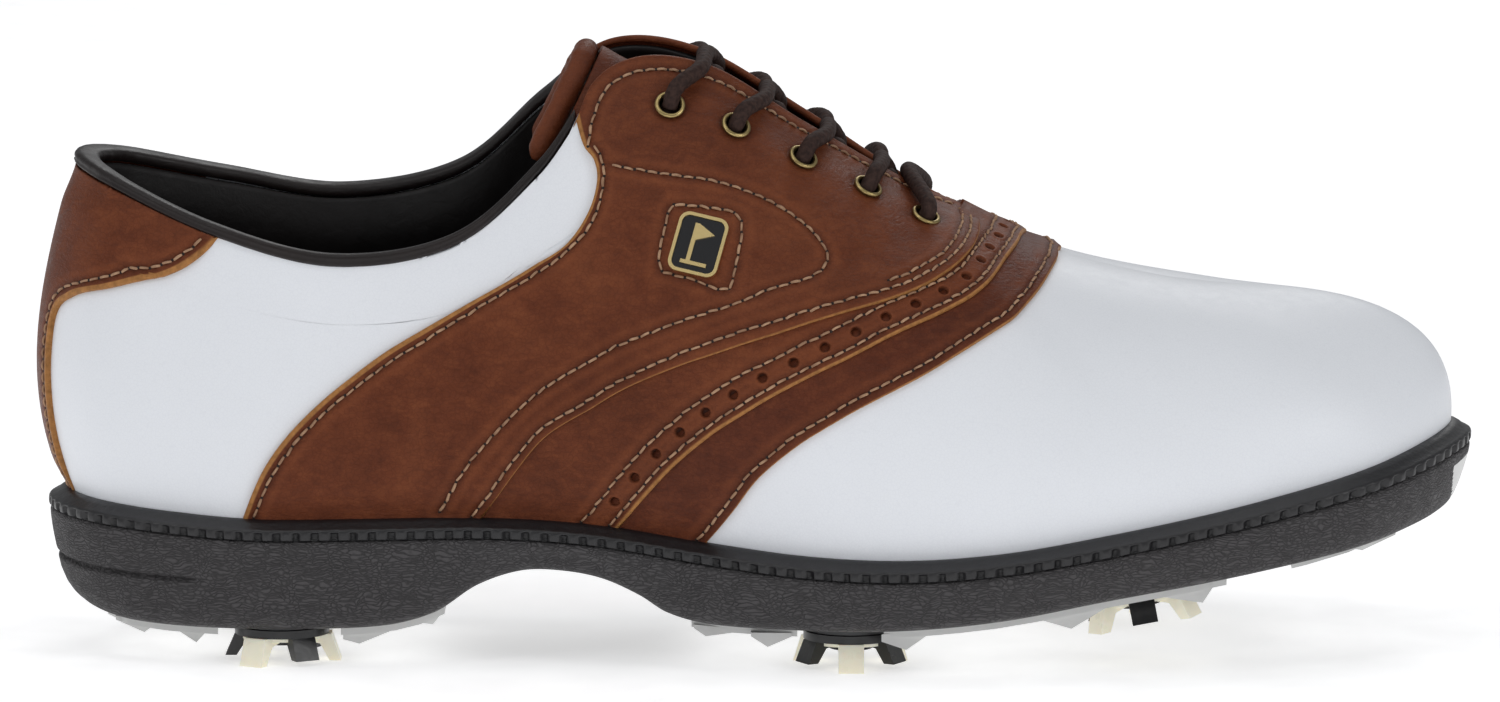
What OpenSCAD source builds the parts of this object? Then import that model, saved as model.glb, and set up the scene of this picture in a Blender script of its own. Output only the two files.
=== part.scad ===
// Right golf shoe: saddle-style leather upper on a welted sole with six
// quick-turn cleats. Millimetres. +X to the toe, +Y to the inner (medial) side,
// +Z up, z = 0 where the cleat legs stand.

/* [Leather and linings] */
// Thickness of the upper leather
leather_t = 1.2; // [1.0:0.1:1.3]
// Thickness of the lining
lining_t = 0.9; // [0.7:0.1:1.0]
// Thickness of the heel counter and the toe puff
stiffener_t = 0.8; // [0.6:0.1:1.0]
// Foam depth at the fullest part of the padded collar
collar_pad = 2.4; // [1.0:0.2:3.0]
// Height of the rolled collar binding
binding_h = 2.8; // [2.4:0.2:3.2]

/* [Lacing] */
// Outside diameter of an eyelet flange
eyelet_d = 6.4; // [6.0:0.1:7.0]
// Clear hole through an eyelet
eyelet_hole_d = 4.4; // [4.1:0.1:4.8]
// Diameter of the waxed round lace
lace_d = 3.4; // [3.0:0.1:3.5]
// Length of the hard tip on a lace end
aglet_len = 20; // [15:1:22]

/* [Tongue] */
// Thickness of the tongue padding
tongue_foam_t = 2.6; // [2.0:0.2:3.0]
// Radius of the rolled edge on the top of the tongue
tongue_roll_r = 2.5; // [2.0:0.1:2.8]

/* [Sole] */
// How far the welt stands out from the upper
welt_w = 4.3; // [3.5:0.1:4.8]
// Height of the welt's ribbed edge
welt_edge_h = 2.0; // [1.6:0.1:2.4]
// Thickness of the sockliner under the foot
sockliner_t = 4.4; // [3.0:0.2:5.0]
// Thickness of the grey traction plates
traction_t = 2.0; // [1.6:0.1:2.2]

/* [Cleats] */
// Height of a cleat from its seat to the tips of its soft legs
cleat_h = 7.6; // [7.2:0.1:8.4]
// Diameter over the legs of a cleat
cleat_d = 25; // [23:0.5:26]
// Diameter of the post that turns in the receptacle
post_d = 11.2; // [10:0.1:12]
// Radial running clearance of the post
post_clear = 0.05; // [0.02:0.01:0.10]

/* [Badge] */
// Width of the side badge
badge_w = 10.6; // [9:0.2:12]
// Height of the side badge
badge_h = 13.0; // [11:0.2:14]

/* [Hidden] */

brown = "#8a4a25";
dark_brown = "#2e1f1c";
white = "#eef1f6";
charcoal = "#2c2c2e";
grey = "#8c9096";
cream = "#efe8cf";
foam_col = "#c9c2b4";
gold = "#b9985a";

// ---- The last ---------------------------------------------------------
// Stations round the shoe, 24 to a lap: 0 is the heel, 12 the toe, the
// lateral side comes first. Each row is the feather edge x, y, the top edge
// x, y, z, the wall's lean at its foot and its rise at the top in degrees,
// and how hard the wall is held to those two directions.
STATIONS = [
    [-146.6,   0.0, -143.5,   0.0, 105.8, 24, 75, 26, 26],
    [-138.0, -21.5, -136.0, -15.0, 102.3, 20, 78, 25, 24],
    [-114.5, -31.5, -114.0, -25.0,  93.0, 14, 82, 22, 22],
    [ -87.0, -33.0,  -89.0, -28.5,  87.0, 12, 84, 20, 20],
    [ -60.0, -32.5,  -64.0, -27.0,  91.0, 12, 80, 22, 22],
    [ -33.0, -34.5,  -46.0, -23.0, 106.0, 14, 72, 28, 28],
    [  -6.0, -39.0,  -31.0, -14.5, 124.5, 18, 55, 32, 36],
    [  21.0, -45.5,  -12.0,  -9.5, 125.0, 22, 42, 32, 36],
    [  49.0, -49.0,   10.0,  -6.0, 112.0, 24, 30, 28, 34],
    [  77.0, -48.2,   33.0,  -1.5,  98.5, 22, 18, 24, 32],
    [ 105.5, -43.0,   58.0,   2.0,  86.2, 16,  6, 22, 28],
    [ 131.0, -29.5,   84.0,   2.0,  79.0, 10,  1, 20, 26],
    [ 147.7,   3.5,  108.0,   2.0,  76.6,  4,  3, 20, 24],
    [ 134.5,  33.0,   84.0,   2.0,  79.0, 10,  1, 20, 26],
    [ 110.0,  44.5,   58.0,   2.0,  86.2, 14,  6, 22, 28],
    [  81.0,  49.0,   33.0,   5.5,  98.5, 18, 18, 24, 30],
    [  53.0,  48.0,   10.0,  10.0, 113.0, 18, 30, 28, 32],
    [  25.0,  42.0,  -12.0,  13.5, 125.6, 14, 42, 32, 32],
    [  -3.0,  35.0,  -31.0,  18.0, 127.2, 10, 58, 32, 32],
    [ -31.0,  30.5,  -46.0,  24.0, 116.0, 10, 74, 28, 28],
    [ -59.0,  29.5,  -64.0,  27.5, 100.5, 10, 82, 24, 24],
    [ -87.0,  30.5,  -89.0,  28.5,  95.3, 12, 84, 22, 22],
    [-114.5,  30.0, -114.0,  24.5,  99.5, 14, 82, 24, 24],
    [-138.0,  21.0, -136.0,  15.0, 104.7, 20, 78, 25, 25]
];
LAP = len(STATIONS);
ridge_y = 2;            // the line where the two sides of the vamp meet
throat_end = 9.4;       // station where the lacing throat closes
throat_fade = 0.4;

// Height of the feather edge along the shoe, as x, z
FEATHER = [
    [-152, 34.8], [-140, 34.4], [-125, 33.2], [-105, 32.0], [-80, 32.2], [-55, 32.4],
    [-34, 31.2], [-10, 27.8], [9, 25.8], [30, 25.4], [51, 27.2], [73, 31.0], [94, 35.1],
    [115, 39.7], [136, 44.8], [150, 48.5]
];
// Height of the outsole's tread along the shoe, as x, z
TREAD = [
    [-152, 17.0], [-147, 13.0], [-140, 10.2], [-130, 8.5], [-108, 7.9], [-80, 8.5],
    [-68, 11.4], [-59, 17.2], [-50, 20.3], [-42, 20.5], [-33, 19.0], [-25, 15.6],
    [-19, 12.0], [-10, 9.8], [9, 9.2], [30, 9.8], [51, 12.2], [72, 16.2], [94, 19.9],
    [115, 23.5], [136, 27.4], [147, 30.0], [153, 34.0]
];

function cubic(a, b, c, d, t) =
    0.5 * (2 * b + (c - a) * t + (2 * a - 5 * b + 4 * c - d) * t * t
        + (3 * b - a - 3 * c + d) * t * t * t);
function smooth(t) = let (k = min(max(t, 0), 1)) k * k * (3 - 2 * k);
function unit(v) = v / norm(v);

// Value at x of a smooth curve through a table of x, z
function slope(T, i) =
    let (a = max(i - 1, 0), b = min(i + 1, len(T) - 1)) (T[b][1] - T[a][1]) / (T[b][0] - T[a][0]);
function find(T, x, i = 0) = (i >= len(T) - 2 || T[i + 1][0] > x) ? i : find(T, x, i + 1);
function along(T, x) =
    let (i = find(T, x), w = T[i + 1][0] - T[i][0], t = min(max((x - T[i][0]) / w, 0), 1))
    (2 * pow(t, 3) - 3 * t * t + 1) * T[i][1] + (pow(t, 3) - 2 * t * t + t) * w * slope(T, i)
        + (3 * t * t - 2 * pow(t, 3)) * T[i + 1][1] + (pow(t, 3) - t * t) * w * slope(T, i + 1);
function feather_z(x) = along(FEATHER, x);
function tread_z(x) = along(TREAD, x);

// Station row at any place round the lap
function row(u) =
    let (v = (u % LAP + LAP) % LAP, i = floor(v), t = v - i, n = LAP)
    cubic(STATIONS[(i + n - 1) % n], STATIONS[i], STATIONS[(i + 1) % n], STATIONS[(i + 2) % n], t);
function edge(u) = let (r = row(u)) [r[0], r[1]];
function inward(u) = let (d = unit(edge(u + 0.03) - edge(u - 0.03))) [-d[1], d[0], 0];
// Station counted from the heel on either side
function from_heel(u) = let (v = (u % LAP + LAP) % LAP) min(v, LAP - v);

// Point on the last: u round the shoe, h from the feather edge (0) to the top (1)
function last_pt(u, h) =
    let (r = row(u), n = inward(u), q = smooth((from_heel(u) - throat_end + throat_fade) / throat_fade),
        foot = [r[0], r[1], feather_z(r[0])],
        top = [r[2], r[3] * (1 - q) + ridge_y * q, r[4]],
        lo = foot + r[7] * (cos(r[5]) * [0, 0, 1] - sin(r[5]) * n),
        hi = top - r[8] * (cos(r[6]) * n + sin(r[6]) * [0, 0, 1]), k = 1 - h)
    k * k * k * foot + 3 * k * k * h * lo + 3 * k * h * h * hi + h * h * h * top;
function side_normal(u, h) =
    let (k = min(max(h, 0.02), 0.97), a = last_pt(u + 0.04, k) - last_pt(u - 0.04, k),
        b = last_pt(u, k + 0.01) - last_pt(u, k - 0.01))
    unit(cross(a, b));
function on_ridge(u, h) = h > 0.995 && from_heel(u) > throat_end - 0.01;
function normal(u, h) =
    on_ridge(u, h) ? unit(side_normal(u, h) + side_normal(LAP - u, h)) : side_normal(u, h);
// Point at a distance outside (+) or inside (-) the last
function skin(u, h, d) = last_pt(u, h) + d * normal(u, h);

// ---- Seams of the upper, as u, h from the feather edge upwards ---------
HEEL_SEAM = [
    [0.45, 0], [0.455, 0.14], [0.46, 0.28], [0.47, 0.42], [0.53, 0.55], [0.78, 0.615], [1.15, 0.672], [1.48, 0.745],
    [1.53, 0.755], [1.57, 0.765], [1.62, 0.777], [1.75, 0.82], [1.87, 0.87], [1.99, 0.93],
    [2.10, 1]
];
SADDLE_REAR = [
    [2.25, 0], [2.43, 0.19], [2.69, 0.36], [3.04, 0.515], [3.51, 0.665], [4.10, 0.75],
    [4.83, 0.745], [5.28, 0.732], [5.60, 0.748], [5.77, 0.785], [5.78, 0.83],
    [5.65, 0.89], [5.50, 1]
];
SADDLE_FRONT = [
    [4.08, 0], [4.36, 0.147], [4.66, 0.254], [5.10, 0.32], [5.45, 0.358], [5.97, 0.388],
    [6.51, 0.418], [7.14, 0.465], [7.80, 0.532], [8.28, 0.585], [8.64, 0.64], [8.97, 0.71],
    [9.27, 0.805], [9.50, 0.94], [9.57, 1]
];
BAND_FRONT = [
    [5.15, 0], [5.38, 0.09], [5.67, 0.174], [6.04, 0.244], [6.46, 0.30], [6.91, 0.355],
    [7.44, 0.418], [7.94, 0.486], [8.45, 0.55], [8.87, 0.616], [9.27, 0.71], [9.65, 0.84],
    [9.94, 1]
];
WING_FRONT = [
    [5.83, 0], [6.06, 0.08], [6.35, 0.164], [6.77, 0.241], [7.21, 0.304], [7.71, 0.371],
    [8.20, 0.437], [8.73, 0.515], [9.14, 0.585], [9.54, 0.685], [9.93, 0.83], [10.24, 1]
];
function mirrored(K) = [for (k = K) [LAP - k[0], k[1]]];
function seam(K, t) =
    let (n = len(K) - 1, f = min(max(t, 0), 1) * n, i = min(floor(f), n - 1))
    cubic(K[max(i - 1, 0)], K[i], K[i + 1], K[min(i + 2, n)], f - i);

// The collar binding takes the top of the walls round the ankle
binding_end = 5.5;
wall_top = 0.962;
function rim(u) =
    let (q = smooth((from_heel(u) - binding_end) / 0.25)) wall_top + (1 - wall_top) * q;

// ---- Mesh helpers ------------------------------------------------------
// Grid of points between two seams, with the rows from the foot upwards
function panel(A, B, rows, cols, d) =
    [for (i = [0 : rows]) let (a = seam(A, i / rows), b = seam(B, i / rows))
        [for (j = [0 : cols]) let (q = a + (b - a) * j / cols, h = min(q[1], rim(q[0])))
            skin(q[0], h, d)]];
// The same, carried over the ridge and down the other side
function over_panel(A, B, rows, cols, d) =
    let (near = panel(A, B, rows, cols, d), far = panel(mirrored(A), mirrored(B), rows, cols, d))
    concat(near, [for (i = [rows - 1 : -1 : 0]) far[i]]);
// Grid over a plain range of u and h
function field(u0, u1, h0, h1, rows, cols) =
    [for (i = [0 : rows]) [for (j = [0 : cols])
        [u0 + (u1 - u0) * j / cols, h0 + (h1 - h0) * i / rows]]];

// Closed solid between an outer and an inner grid. With fold, the two halves
// of the last row lie on one line and share their points.
module shell(outer, inner, fold = false) {
    rows = len(outer);
    cols = len(outer[0]);
    half = rows * cols;
    function id(i, j) = i * cols + ((fold && i == rows - 1) ? min(j, cols - 1 - j) : j);
    function quad(a, b, c, d) = [[a, d, c], [a, c, b]];
    sheets = [for (i = [0 : rows - 2], j = [0 : cols - 2]) each concat(
        quad(id(i, j), id(i, j + 1), id(i + 1, j + 1), id(i + 1, j)),
        quad(half + id(i, j), half + id(i + 1, j), half + id(i + 1, j + 1), half + id(i, j + 1)))];
    foot_wall = [for (j = [0 : cols - 2]) each
        quad(half + id(0, j), half + id(0, j + 1), id(0, j + 1), id(0, j))];
    top_wall = fold ? [] : [for (j = [0 : cols - 2]) each
        quad(id(rows - 1, j), id(rows - 1, j + 1), half + id(rows - 1, j + 1), half + id(rows - 1, j))];
    end_walls = [for (i = [0 : rows - 2]) each concat(
        quad(half + id(i, 0), id(i, 0), id(i + 1, 0), half + id(i + 1, 0)),
        quad(id(i, cols - 1), half + id(i, cols - 1), half + id(i + 1, cols - 1), id(i + 1, cols - 1)))];
    polyhedron(
        concat([for (r = outer, p = r) p], [for (r = inner, p = r) p]),
        concat(sheets, foot_wall, top_wall, end_walls), convexity = 10);
}

// Solid through a stack of rings, closed at both ends by strips across it
module lofted(rings) {
    n = len(rings[0]);
    m = len(rings);
    sides = [for (k = [0 : m - 2], i = [0 : n - 1]) let (j = (i + 1) % n) each
        [[k * n + i, (k + 1) * n + j, k * n + j], [k * n + i, (k + 1) * n + i, (k + 1) * n + j]]];
    function across(k, flip) = [for (i = [0 : n / 2 - 1]) let (a = (n - i) % n, b = n - i - 1) each
        [for (t = i == 0 ? [[0, 1, b]] : i == n / 2 - 1 ? [[i, i + 1, a]] : [[i, i + 1, b], [i, b, a]])
            flip ? [k * n + t[2], k * n + t[1], k * n + t[0]] : [k * n + t[0], k * n + t[1], k * n + t[2]]]];
    polyhedron([for (r = rings, p = r) p], concat(sides, across(0, false), across(m - 1, true)),
        convexity = 10);
}

// Closed hoop whose cross-section runs through a stack of rings
module hoop(rings) {
    n = len(rings[0]);
    m = len(rings);
    polyhedron([for (r = rings, p = r) p],
        [for (k = [0 : m - 1], i = [0 : n - 1]) let (j = (i + 1) % n, l = (k + 1) % m) each
            [[k * n + i, l * n + j, k * n + j], [k * n + i, l * n + i, l * n + j]]],
        convexity = 10);
}

// Bar through a stack of cross-sections, closed by a flat cap at each end
module bar(sections) {
    n = len(sections[0]);
    m = len(sections);
    polyhedron([for (s = sections, p = s) p],
        concat(
            [for (k = [0 : m - 2], i = [0 : n - 1]) let (j = (i + 1) % n) each
                [[k * n + i, k * n + j, (k + 1) * n + j], [k * n + i, (k + 1) * n + j, (k + 1) * n + i]]],
            [[for (i = [n - 1 : -1 : 0]) i]], [[for (i = [0 : n - 1]) (m - 1) * n + i]]),
        convexity = 10);
}

// Round tube along a list of points
TUBE_SIDES = 8;
function heading(p, i) = unit(p[min(i + 1, len(p) - 1)] - p[max(i - 1, 0)]);
function frames(p, i = 0, n = [0, 0, 0]) =
    i >= len(p) ? [] :
    let (t = heading(p, i), start = abs(t[2]) < 0.9 ? [0, 0, 1] : [1, 0, 0],
        k = unit((i == 0 ? start : n) - ((i == 0 ? start : n) * t) * t))
    concat([[k, cross(t, k)]], frames(p, i + 1, k));
module tube(p, r) {
    f = frames(p);
    bar([for (i = [0 : len(p) - 1]) [for (a = [0 : TUBE_SIDES - 1])
        let (w = 360 * a / TUBE_SIDES) p[i] + r * (cos(w) * f[i][0] + sin(w) * f[i][1])]]);
}
// Smooth run through points, n steps to a span
function run_through(K, n) =
    let (m = len(K) - 1)
    concat([for (i = [0 : m - 1], s = [0 : n - 1])
        cubic(K[max(i - 1, 0)], K[i], K[i + 1], K[min(i + 2, m)], s / n)], [K[m]]);

// Put children on the skin with +Z along the outward normal
module on_skin(u, h, d = 0) {
    n = normal(u, h);
    translate(skin(u, h, d)) rotate([0, acos(n[2]), atan2(n[1], n[0])]) children();
}

// ---- Sole --------------------------------------------------------------
RING = 96;
function ring_pt(i, out) = let (u = LAP * i / RING, p = edge(u) - out * [inward(u)[0], inward(u)[1]]) p;
// Ring at a distance outside the feather edge and a height above it
function feather_ring(out, up) =
    [for (i = [0 : RING - 1]) let (p = ring_pt(i, out), x = out < 0 ? p[0] : edge(LAP * i / RING)[0])
        [p[0], p[1], feather_z(x) + up]];
function tread_ring(out, up) =
    [for (i = [0 : RING - 1]) let (p = ring_pt(i, out)) [p[0], p[1], tread_z(p[0]) + up]];
function floor_z(x) = min(tread_z(x) + 8, feather_z(x) - 6.5);
function floor_ring(out, up) =
    [for (i = [0 : RING - 1]) let (p = ring_pt(i, out)) [p[0], p[1], floor_z(p[0]) + up]];

rim_in = 5;                      // inner edge of the sole's rim, inside the feather edge
board_t = 2.5;
welt_drop = 2.3;                 // the welt slopes down by this much towards its edge
welt_foot = welt_drop + welt_edge_h;   // underside of the welt, below the feather edge
welt_lip_in = 1.3;               // the welt's lip runs in under the upper
sole_fit = 0.05;                 // clearance between glued pieces of the sole

// Cleats: x, y, height of the seat, toe-spring tilt and turn of the legs
CLEATS = [
    [-100.5, -20.5,  7.6,  0.0,  0], [-100.5,  20.5,  7.6,  0.0,  0],
    [  19.5, -27.0,  7.6,  0.0, 30], [  19.5,  29.0,  7.6,  0.0, 30],
    [  80.0, -24.5, 16.4, 10.5, 90], [  80.0,  27.5, 16.4, 10.5, 90]
];
module at_cleat(c) {
    translate([c[0], c[1], c[2]]) rotate([0, -c[3], 0]) children();
}
receptacle_r = 9.5;
receptacle_h = 6.5;
bore_depth = 5.5;
// The three lugs of a cleat's post, and the groove that they turn in
lug_reach = 0.9;
lug_w = 3.4;
lug_z = 3.2;
lug_h = 1.2;
lug_side_clear = 0.15;
lug_end_clear = 0.3;
slot_w = 4;

module outsole() {
    color(charcoal) difference() {
        lofted([
            floor_ring(-rim_in, 0), feather_ring(-rim_in, -welt_foot - sole_fit),
            feather_ring(welt_w - 0.8, -welt_foot - sole_fit), feather_ring(welt_w - 0.3, -welt_foot - 1.2),
            tread_ring(1.6, 4.0), tread_ring(-0.6, 1.2), tread_ring(-4.0, 0)
        ]);
        for (c = CLEATS) at_cleat(c)
            translate([0, 0, -10]) cylinder(r = receptacle_r + sole_fit, h = receptacle_h + 10.1, $fn = 48);
    }
}

module welt() {
    color("#1f1f21") hoop([
        feather_ring(-rim_in, -board_t - 0.5), feather_ring(-rim_in, -welt_foot),
        feather_ring(welt_w, -welt_foot), feather_ring(welt_w, -welt_drop),
        feather_ring(0.5, -0.15), feather_ring(-welt_lip_in, -0.15),
        feather_ring(-welt_lip_in, -board_t - 0.5)
    ]);
}

module midsole_foam() {
    color(foam_col) difference() {
        lofted([feather_ring(-rim_in - 0.2, -board_t - 0.6), floor_ring(-rim_in - 0.2, 0.1)]);
        shank_bar(0.1);
    }
}

shank_x0 = -72;
shank_x1 = 4;
shank_w = 14;
module shank_bar(grow) {
    xs = [for (k = [0 : 12]) shank_x0 - grow + (shank_x1 - shank_x0 + 2 * grow) * k / 12];
    over = grow > 0 ? 3 : 0;
    rotate([90, 0, 0]) linear_extrude(shank_w + 2 * grow, center = true) polygon(concat(
        [for (x = xs) [x, feather_z(x) - board_t - 1.7 - grow]],
        [for (k = [12 : -1 : 0]) [xs[k], feather_z(xs[k]) - board_t - 0.7 + over]]));
}
module shank() {
    color("silver") shank_bar(0);
}

module insole_board() {
    color("#a8875c") lofted([feather_ring(-1.6, -0.2), feather_ring(-1.6, -board_t - 0.1)]);
}

module sockliner() {
    color(dark_brown) lofted([
        feather_ring(-6.5, sockliner_t), feather_ring(-5.2, sockliner_t - 0.9),
        feather_ring(-5.0, 0)
    ]);
}

traction_sink = 0.12;            // how far the plates' backs stay clear of the tread
tooth_w = 5;
tooth_root = 0.8;                // how far a tooth reaches up into its plate
cleat_clear_r = 14;              // room left in the plates round each cleat
// Traction plate under the sole between two x limits, with teeth near its edges.
// A tooth is x where it starts, x and depth of its tip, x where it ends, and
// how far it stands off the middle on the lateral and the medial side.
module traction(x0, x1, inset, teeth) {
    steps = 14;
    xs = [for (k = [0 : steps]) x0 + (x1 - x0) * k / steps];
    difference() {
        union() {
            intersection() {
                rotate([90, 0, 0]) linear_extrude(120, center = true) polygon(concat(
                    [for (x = xs) [x, tread_z(x) - traction_t]],
                    [for (k = [steps : -1 : 0]) [xs[k], tread_z(xs[k]) - traction_sink]]));
                linear_extrude(60) polygon([for (i = [0 : 2 : RING - 1]) ring_pt(i, -inset)]);
            }
            for (t = teeth, y = [-t[4], t[5]]) translate([0, y, 0])
                rotate([90, 0, 0]) linear_extrude(tooth_w, center = true) polygon([
                    [t[0], tread_z(t[0]) - traction_t + tooth_root], [t[0], tread_z(t[0]) - traction_t],
                    [t[1], tread_z(t[1]) - traction_t - t[2]], [t[3], tread_z(t[3]) - traction_t],
                    [t[3], tread_z(t[3]) - traction_t + tooth_root]]);
        }
        for (c = CLEATS) at_cleat(c) translate([0, 0, -20]) cylinder(r = cleat_clear_r, h = 40, $fn = 48);
    }
}
module heel_traction_plate() {
    color(grey) traction(-138, -66, 6.5,
        [[-136, -130, 1.9, -127.5, 12, 12], [-122, -118.5, 2.2, -116.5, 20, 18],
            [-91, -84, 2.2, -77, 23, 21], [-71, -68.5, 1.2, -67, 22, 20]]);
}
module forefoot_traction_plate() {
    color(grey) traction(-14, 98, 7,
        [[-13.5, -11, 1.3, -5, 29, 23], [-1.5, 2, 2.2, 7, 33, 27], [24, 31, 2.8, 35.5, 37, 33],
            [59, 65.5, 3.2, 73, 38, 38], [84, 93, 2.8, 95, 36, 37]]);
}
module toe_traction_plate() {
    color(grey) traction(112, 141, 9, [[122, 128, 2.0, 135, 10, 14]]);
}

module cleat_receptacles() {
    color("#3a3a3d") for (c = CLEATS) at_cleat(c) rotate(c[4]) difference() {
        cylinder(r = receptacle_r, h = receptacle_h, $fn = 64);
        translate([0, 0, -1]) cylinder(r = post_d / 2 + post_clear, h = bore_depth + 1, $fn = 64);
        translate([0, 0, lug_z - lug_end_clear])
            cylinder(r = post_d / 2 + lug_reach + lug_side_clear, h = lug_h + 2 * lug_end_clear, $fn = 64);
        for (a = HARD_LEGS) rotate(a) translate([0, -slot_w / 2, -1])
            cube([post_d / 2 + lug_reach + lug_side_clear, slot_w, lug_z + 1]);
    }
}

SOFT_LEGS = [0, 120, 240];
HARD_LEGS = [60, 180, 300];
leg_w = 5.4;
leg_root = 4.8;                  // radius at which the legs leave the hub
flange_r = 10;
flange_t = 1.7;
hub_r = 4.6;
soft_disc_r = 8.6;
soft_disc_t = 0.9;
wrench_hole_r = 0.9;
wrench_hole_at = 2.6;
seat_gap = 0.15;
// Leg of a cleat in profile, reaching down to the given depth
module leg(depth, reach) {
    rotate([90, 0, 0]) linear_extrude(leg_w, center = true) polygon([
        [leg_root, -flange_t - seat_gap], [reach - 2.0, -flange_t - seat_gap], [reach, -depth],
        [reach - 2.4, -depth], [reach - 4.4, -depth * 0.52], [leg_root, -depth * 0.42]]);
}
module cleat_core(c) {
    color("#1b1b1c") at_cleat(c) rotate(c[4]) {
        difference() {
            union() {
                translate([0, 0, -seat_gap - flange_t]) cylinder(r = flange_r, h = flange_t, $fn = 64);
                translate([0, 0, -seat_gap]) cylinder(r = post_d / 2, h = bore_depth - 0.3 + seat_gap, $fn = 64);
                translate([0, 0, -flange_t - seat_gap - 2.2]) cylinder(r = hub_r, h = 2.4, $fn = 48);
                for (a = SOFT_LEGS) rotate(a) translate([0, 0, lug_z])
                    intersection() {
                        cylinder(r = post_d / 2 + lug_reach, h = lug_h, $fn = 64);
                        translate([3, -lug_w / 2, 0]) cube([5, lug_w, lug_h]);
                    }
            }
            for (a = [0, 180]) rotate(a) translate([wrench_hole_at, 0, -5])
                cylinder(r = wrench_hole_r, h = 3.2, $fn = 24);
        }
        for (a = HARD_LEGS) rotate(a) leg(cleat_h - 1.2, cleat_d / 2 - 0.6);
    }
}
module cleat_soft_legs(c) {
    color(cream) at_cleat(c) rotate(c[4]) {
        difference() {
            translate([0, 0, -seat_gap - flange_t - soft_disc_t])
                cylinder(r = soft_disc_r, h = soft_disc_t, $fn = 64);
            translate([0, 0, -6]) cylinder(r = hub_r + sole_fit, h = 6, $fn = 48);
            for (a = HARD_LEGS) rotate(a) translate([4, -leg_w / 2 - sole_fit, -6])
                cube([10, leg_w + 2 * sole_fit, 6]);
        }
        for (a = SOFT_LEGS) rotate(a) leg(cleat_h, cleat_d / 2);
    }
}
module cleat_1_core() { cleat_core(CLEATS[0]); }
module cleat_1_soft_legs() { cleat_soft_legs(CLEATS[0]); }
module cleat_2_core() { cleat_core(CLEATS[1]); }
module cleat_2_soft_legs() { cleat_soft_legs(CLEATS[1]); }
module cleat_3_core() { cleat_core(CLEATS[2]); }
module cleat_3_soft_legs() { cleat_soft_legs(CLEATS[2]); }
module cleat_4_core() { cleat_core(CLEATS[3]); }
module cleat_4_soft_legs() { cleat_soft_legs(CLEATS[3]); }
module cleat_5_core() { cleat_core(CLEATS[4]); }
module cleat_5_soft_legs() { cleat_soft_legs(CLEATS[4]); }
module cleat_6_core() { cleat_core(CLEATS[5]); }
module cleat_6_soft_legs() { cleat_soft_legs(CLEATS[5]); }

// ---- Upper -------------------------------------------------------------
module plain_panel(A, B, rows, cols) {
    shell(panel(A, B, rows, cols, 0), panel(A, B, rows, cols, -leather_t));
}
vamp_rows = 16;
vamp_cols = 34;
module vamp() {
    color(white) shell(panel(WING_FRONT, mirrored(WING_FRONT), vamp_rows, vamp_cols, 0),
        panel(WING_FRONT, mirrored(WING_FRONT), vamp_rows, vamp_cols, -leather_t), fold = true);
}
module front_wing() {
    color(brown) shell(over_panel(BAND_FRONT, WING_FRONT, 16, 3, 0),
        over_panel(BAND_FRONT, WING_FRONT, 16, 3, -leather_t));
}
module brogue_band() {
    color(brown) shell(over_panel(SADDLE_FRONT, BAND_FRONT, 16, 3, 0),
        over_panel(SADDLE_FRONT, BAND_FRONT, 16, 3, -leather_t));
}
EYELETS = [[6.70, 0.885], [7.31, 0.870], [7.90, 0.870], [8.45, 0.862], [8.90, 0.835]];
function eyelet_at(i, side) = side == 0 ? EYELETS[i] : [LAP - EYELETS[i][0], EYELETS[i][1]];
barrel_r = eyelet_hole_d / 2 + 0.4;
module eyelet_holes(side) {
    for (i = [0 : len(EYELETS) - 1]) on_skin(eyelet_at(i, side)[0], eyelet_at(i, side)[1])
        translate([0, 0, -4]) cylinder(r = barrel_r + 0.05, h = 8, $fn = 32);
}
module lateral_saddle() {
    color(brown) difference() {
        plain_panel(SADDLE_REAR, SADDLE_FRONT, 16, 9);
        eyelet_holes(0);
    }
}
module medial_saddle() {
    color(brown) difference() {
        plain_panel(mirrored(SADDLE_FRONT), mirrored(SADDLE_REAR), 16, 9);
        eyelet_holes(1);
    }
}
quarter_rows = 22;
module lateral_quarter() {
    color(white) plain_panel(HEEL_SEAM, SADDLE_REAR, quarter_rows, 12);
}
module medial_quarter() {
    color(white) plain_panel(mirrored(SADDLE_REAR), mirrored(HEEL_SEAM), quarter_rows, 12);
}
module heel_overlay() {
    back = [for (k = HEEL_SEAM) [-k[0], k[1]]];
    color(brown) plain_panel(back, HEEL_SEAM, quarter_rows, 12);
}

// Depth of the lining's outer face under the leather's outer face
layer_gap = 0.3;
stiffener_gap = 0.6;
function lining_depth(u, h) =
    let (a = from_heel(u), heel = 1 - smooth((a - 4.0) / 1.2), toe = smooth((a - 9.6) / 0.9),
        pad = (1 - smooth((a - 3.6) / 1.4)) * sin(180 * min(max((h - 0.68) / 0.30, 0), 1)))
    leather_t + layer_gap + max(heel, toe) * (stiffener_t + stiffener_gap) + collar_pad * pad;
function depth_grid(F, extra, lift) =
    [for (r = F) [for (q = r) skin(q[0], q[1], -lining_depth(q[0], q[1]) * lift - extra)]];
function plain_grid(F, d) = [for (r = F) [for (q = r) skin(q[0], q[1], d)]];

module heel_counter() {
    F = field(-3.4, 3.4, 0.03, 0.62, 10, 28);
    color("#d8cdb4") shell(plain_grid(F, -leather_t - stiffener_gap),
        plain_grid(F, -leather_t - stiffener_gap - stiffener_t));
}
module toe_puff() {
    F = field(10.7, 13.3, 0.03, 0.80, 10, 18);
    color("#d8cdb4") shell(plain_grid(F, -leather_t - stiffener_gap),
        plain_grid(F, -leather_t - stiffener_gap - stiffener_t));
}
module collar_foam() {
    F = field(-4.9, 4.9, 0.70, 0.95, 5, 36);
    color(foam_col) shell(plain_grid(F, -leather_t - layer_gap), depth_grid(F, -layer_gap, 1));
}
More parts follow.
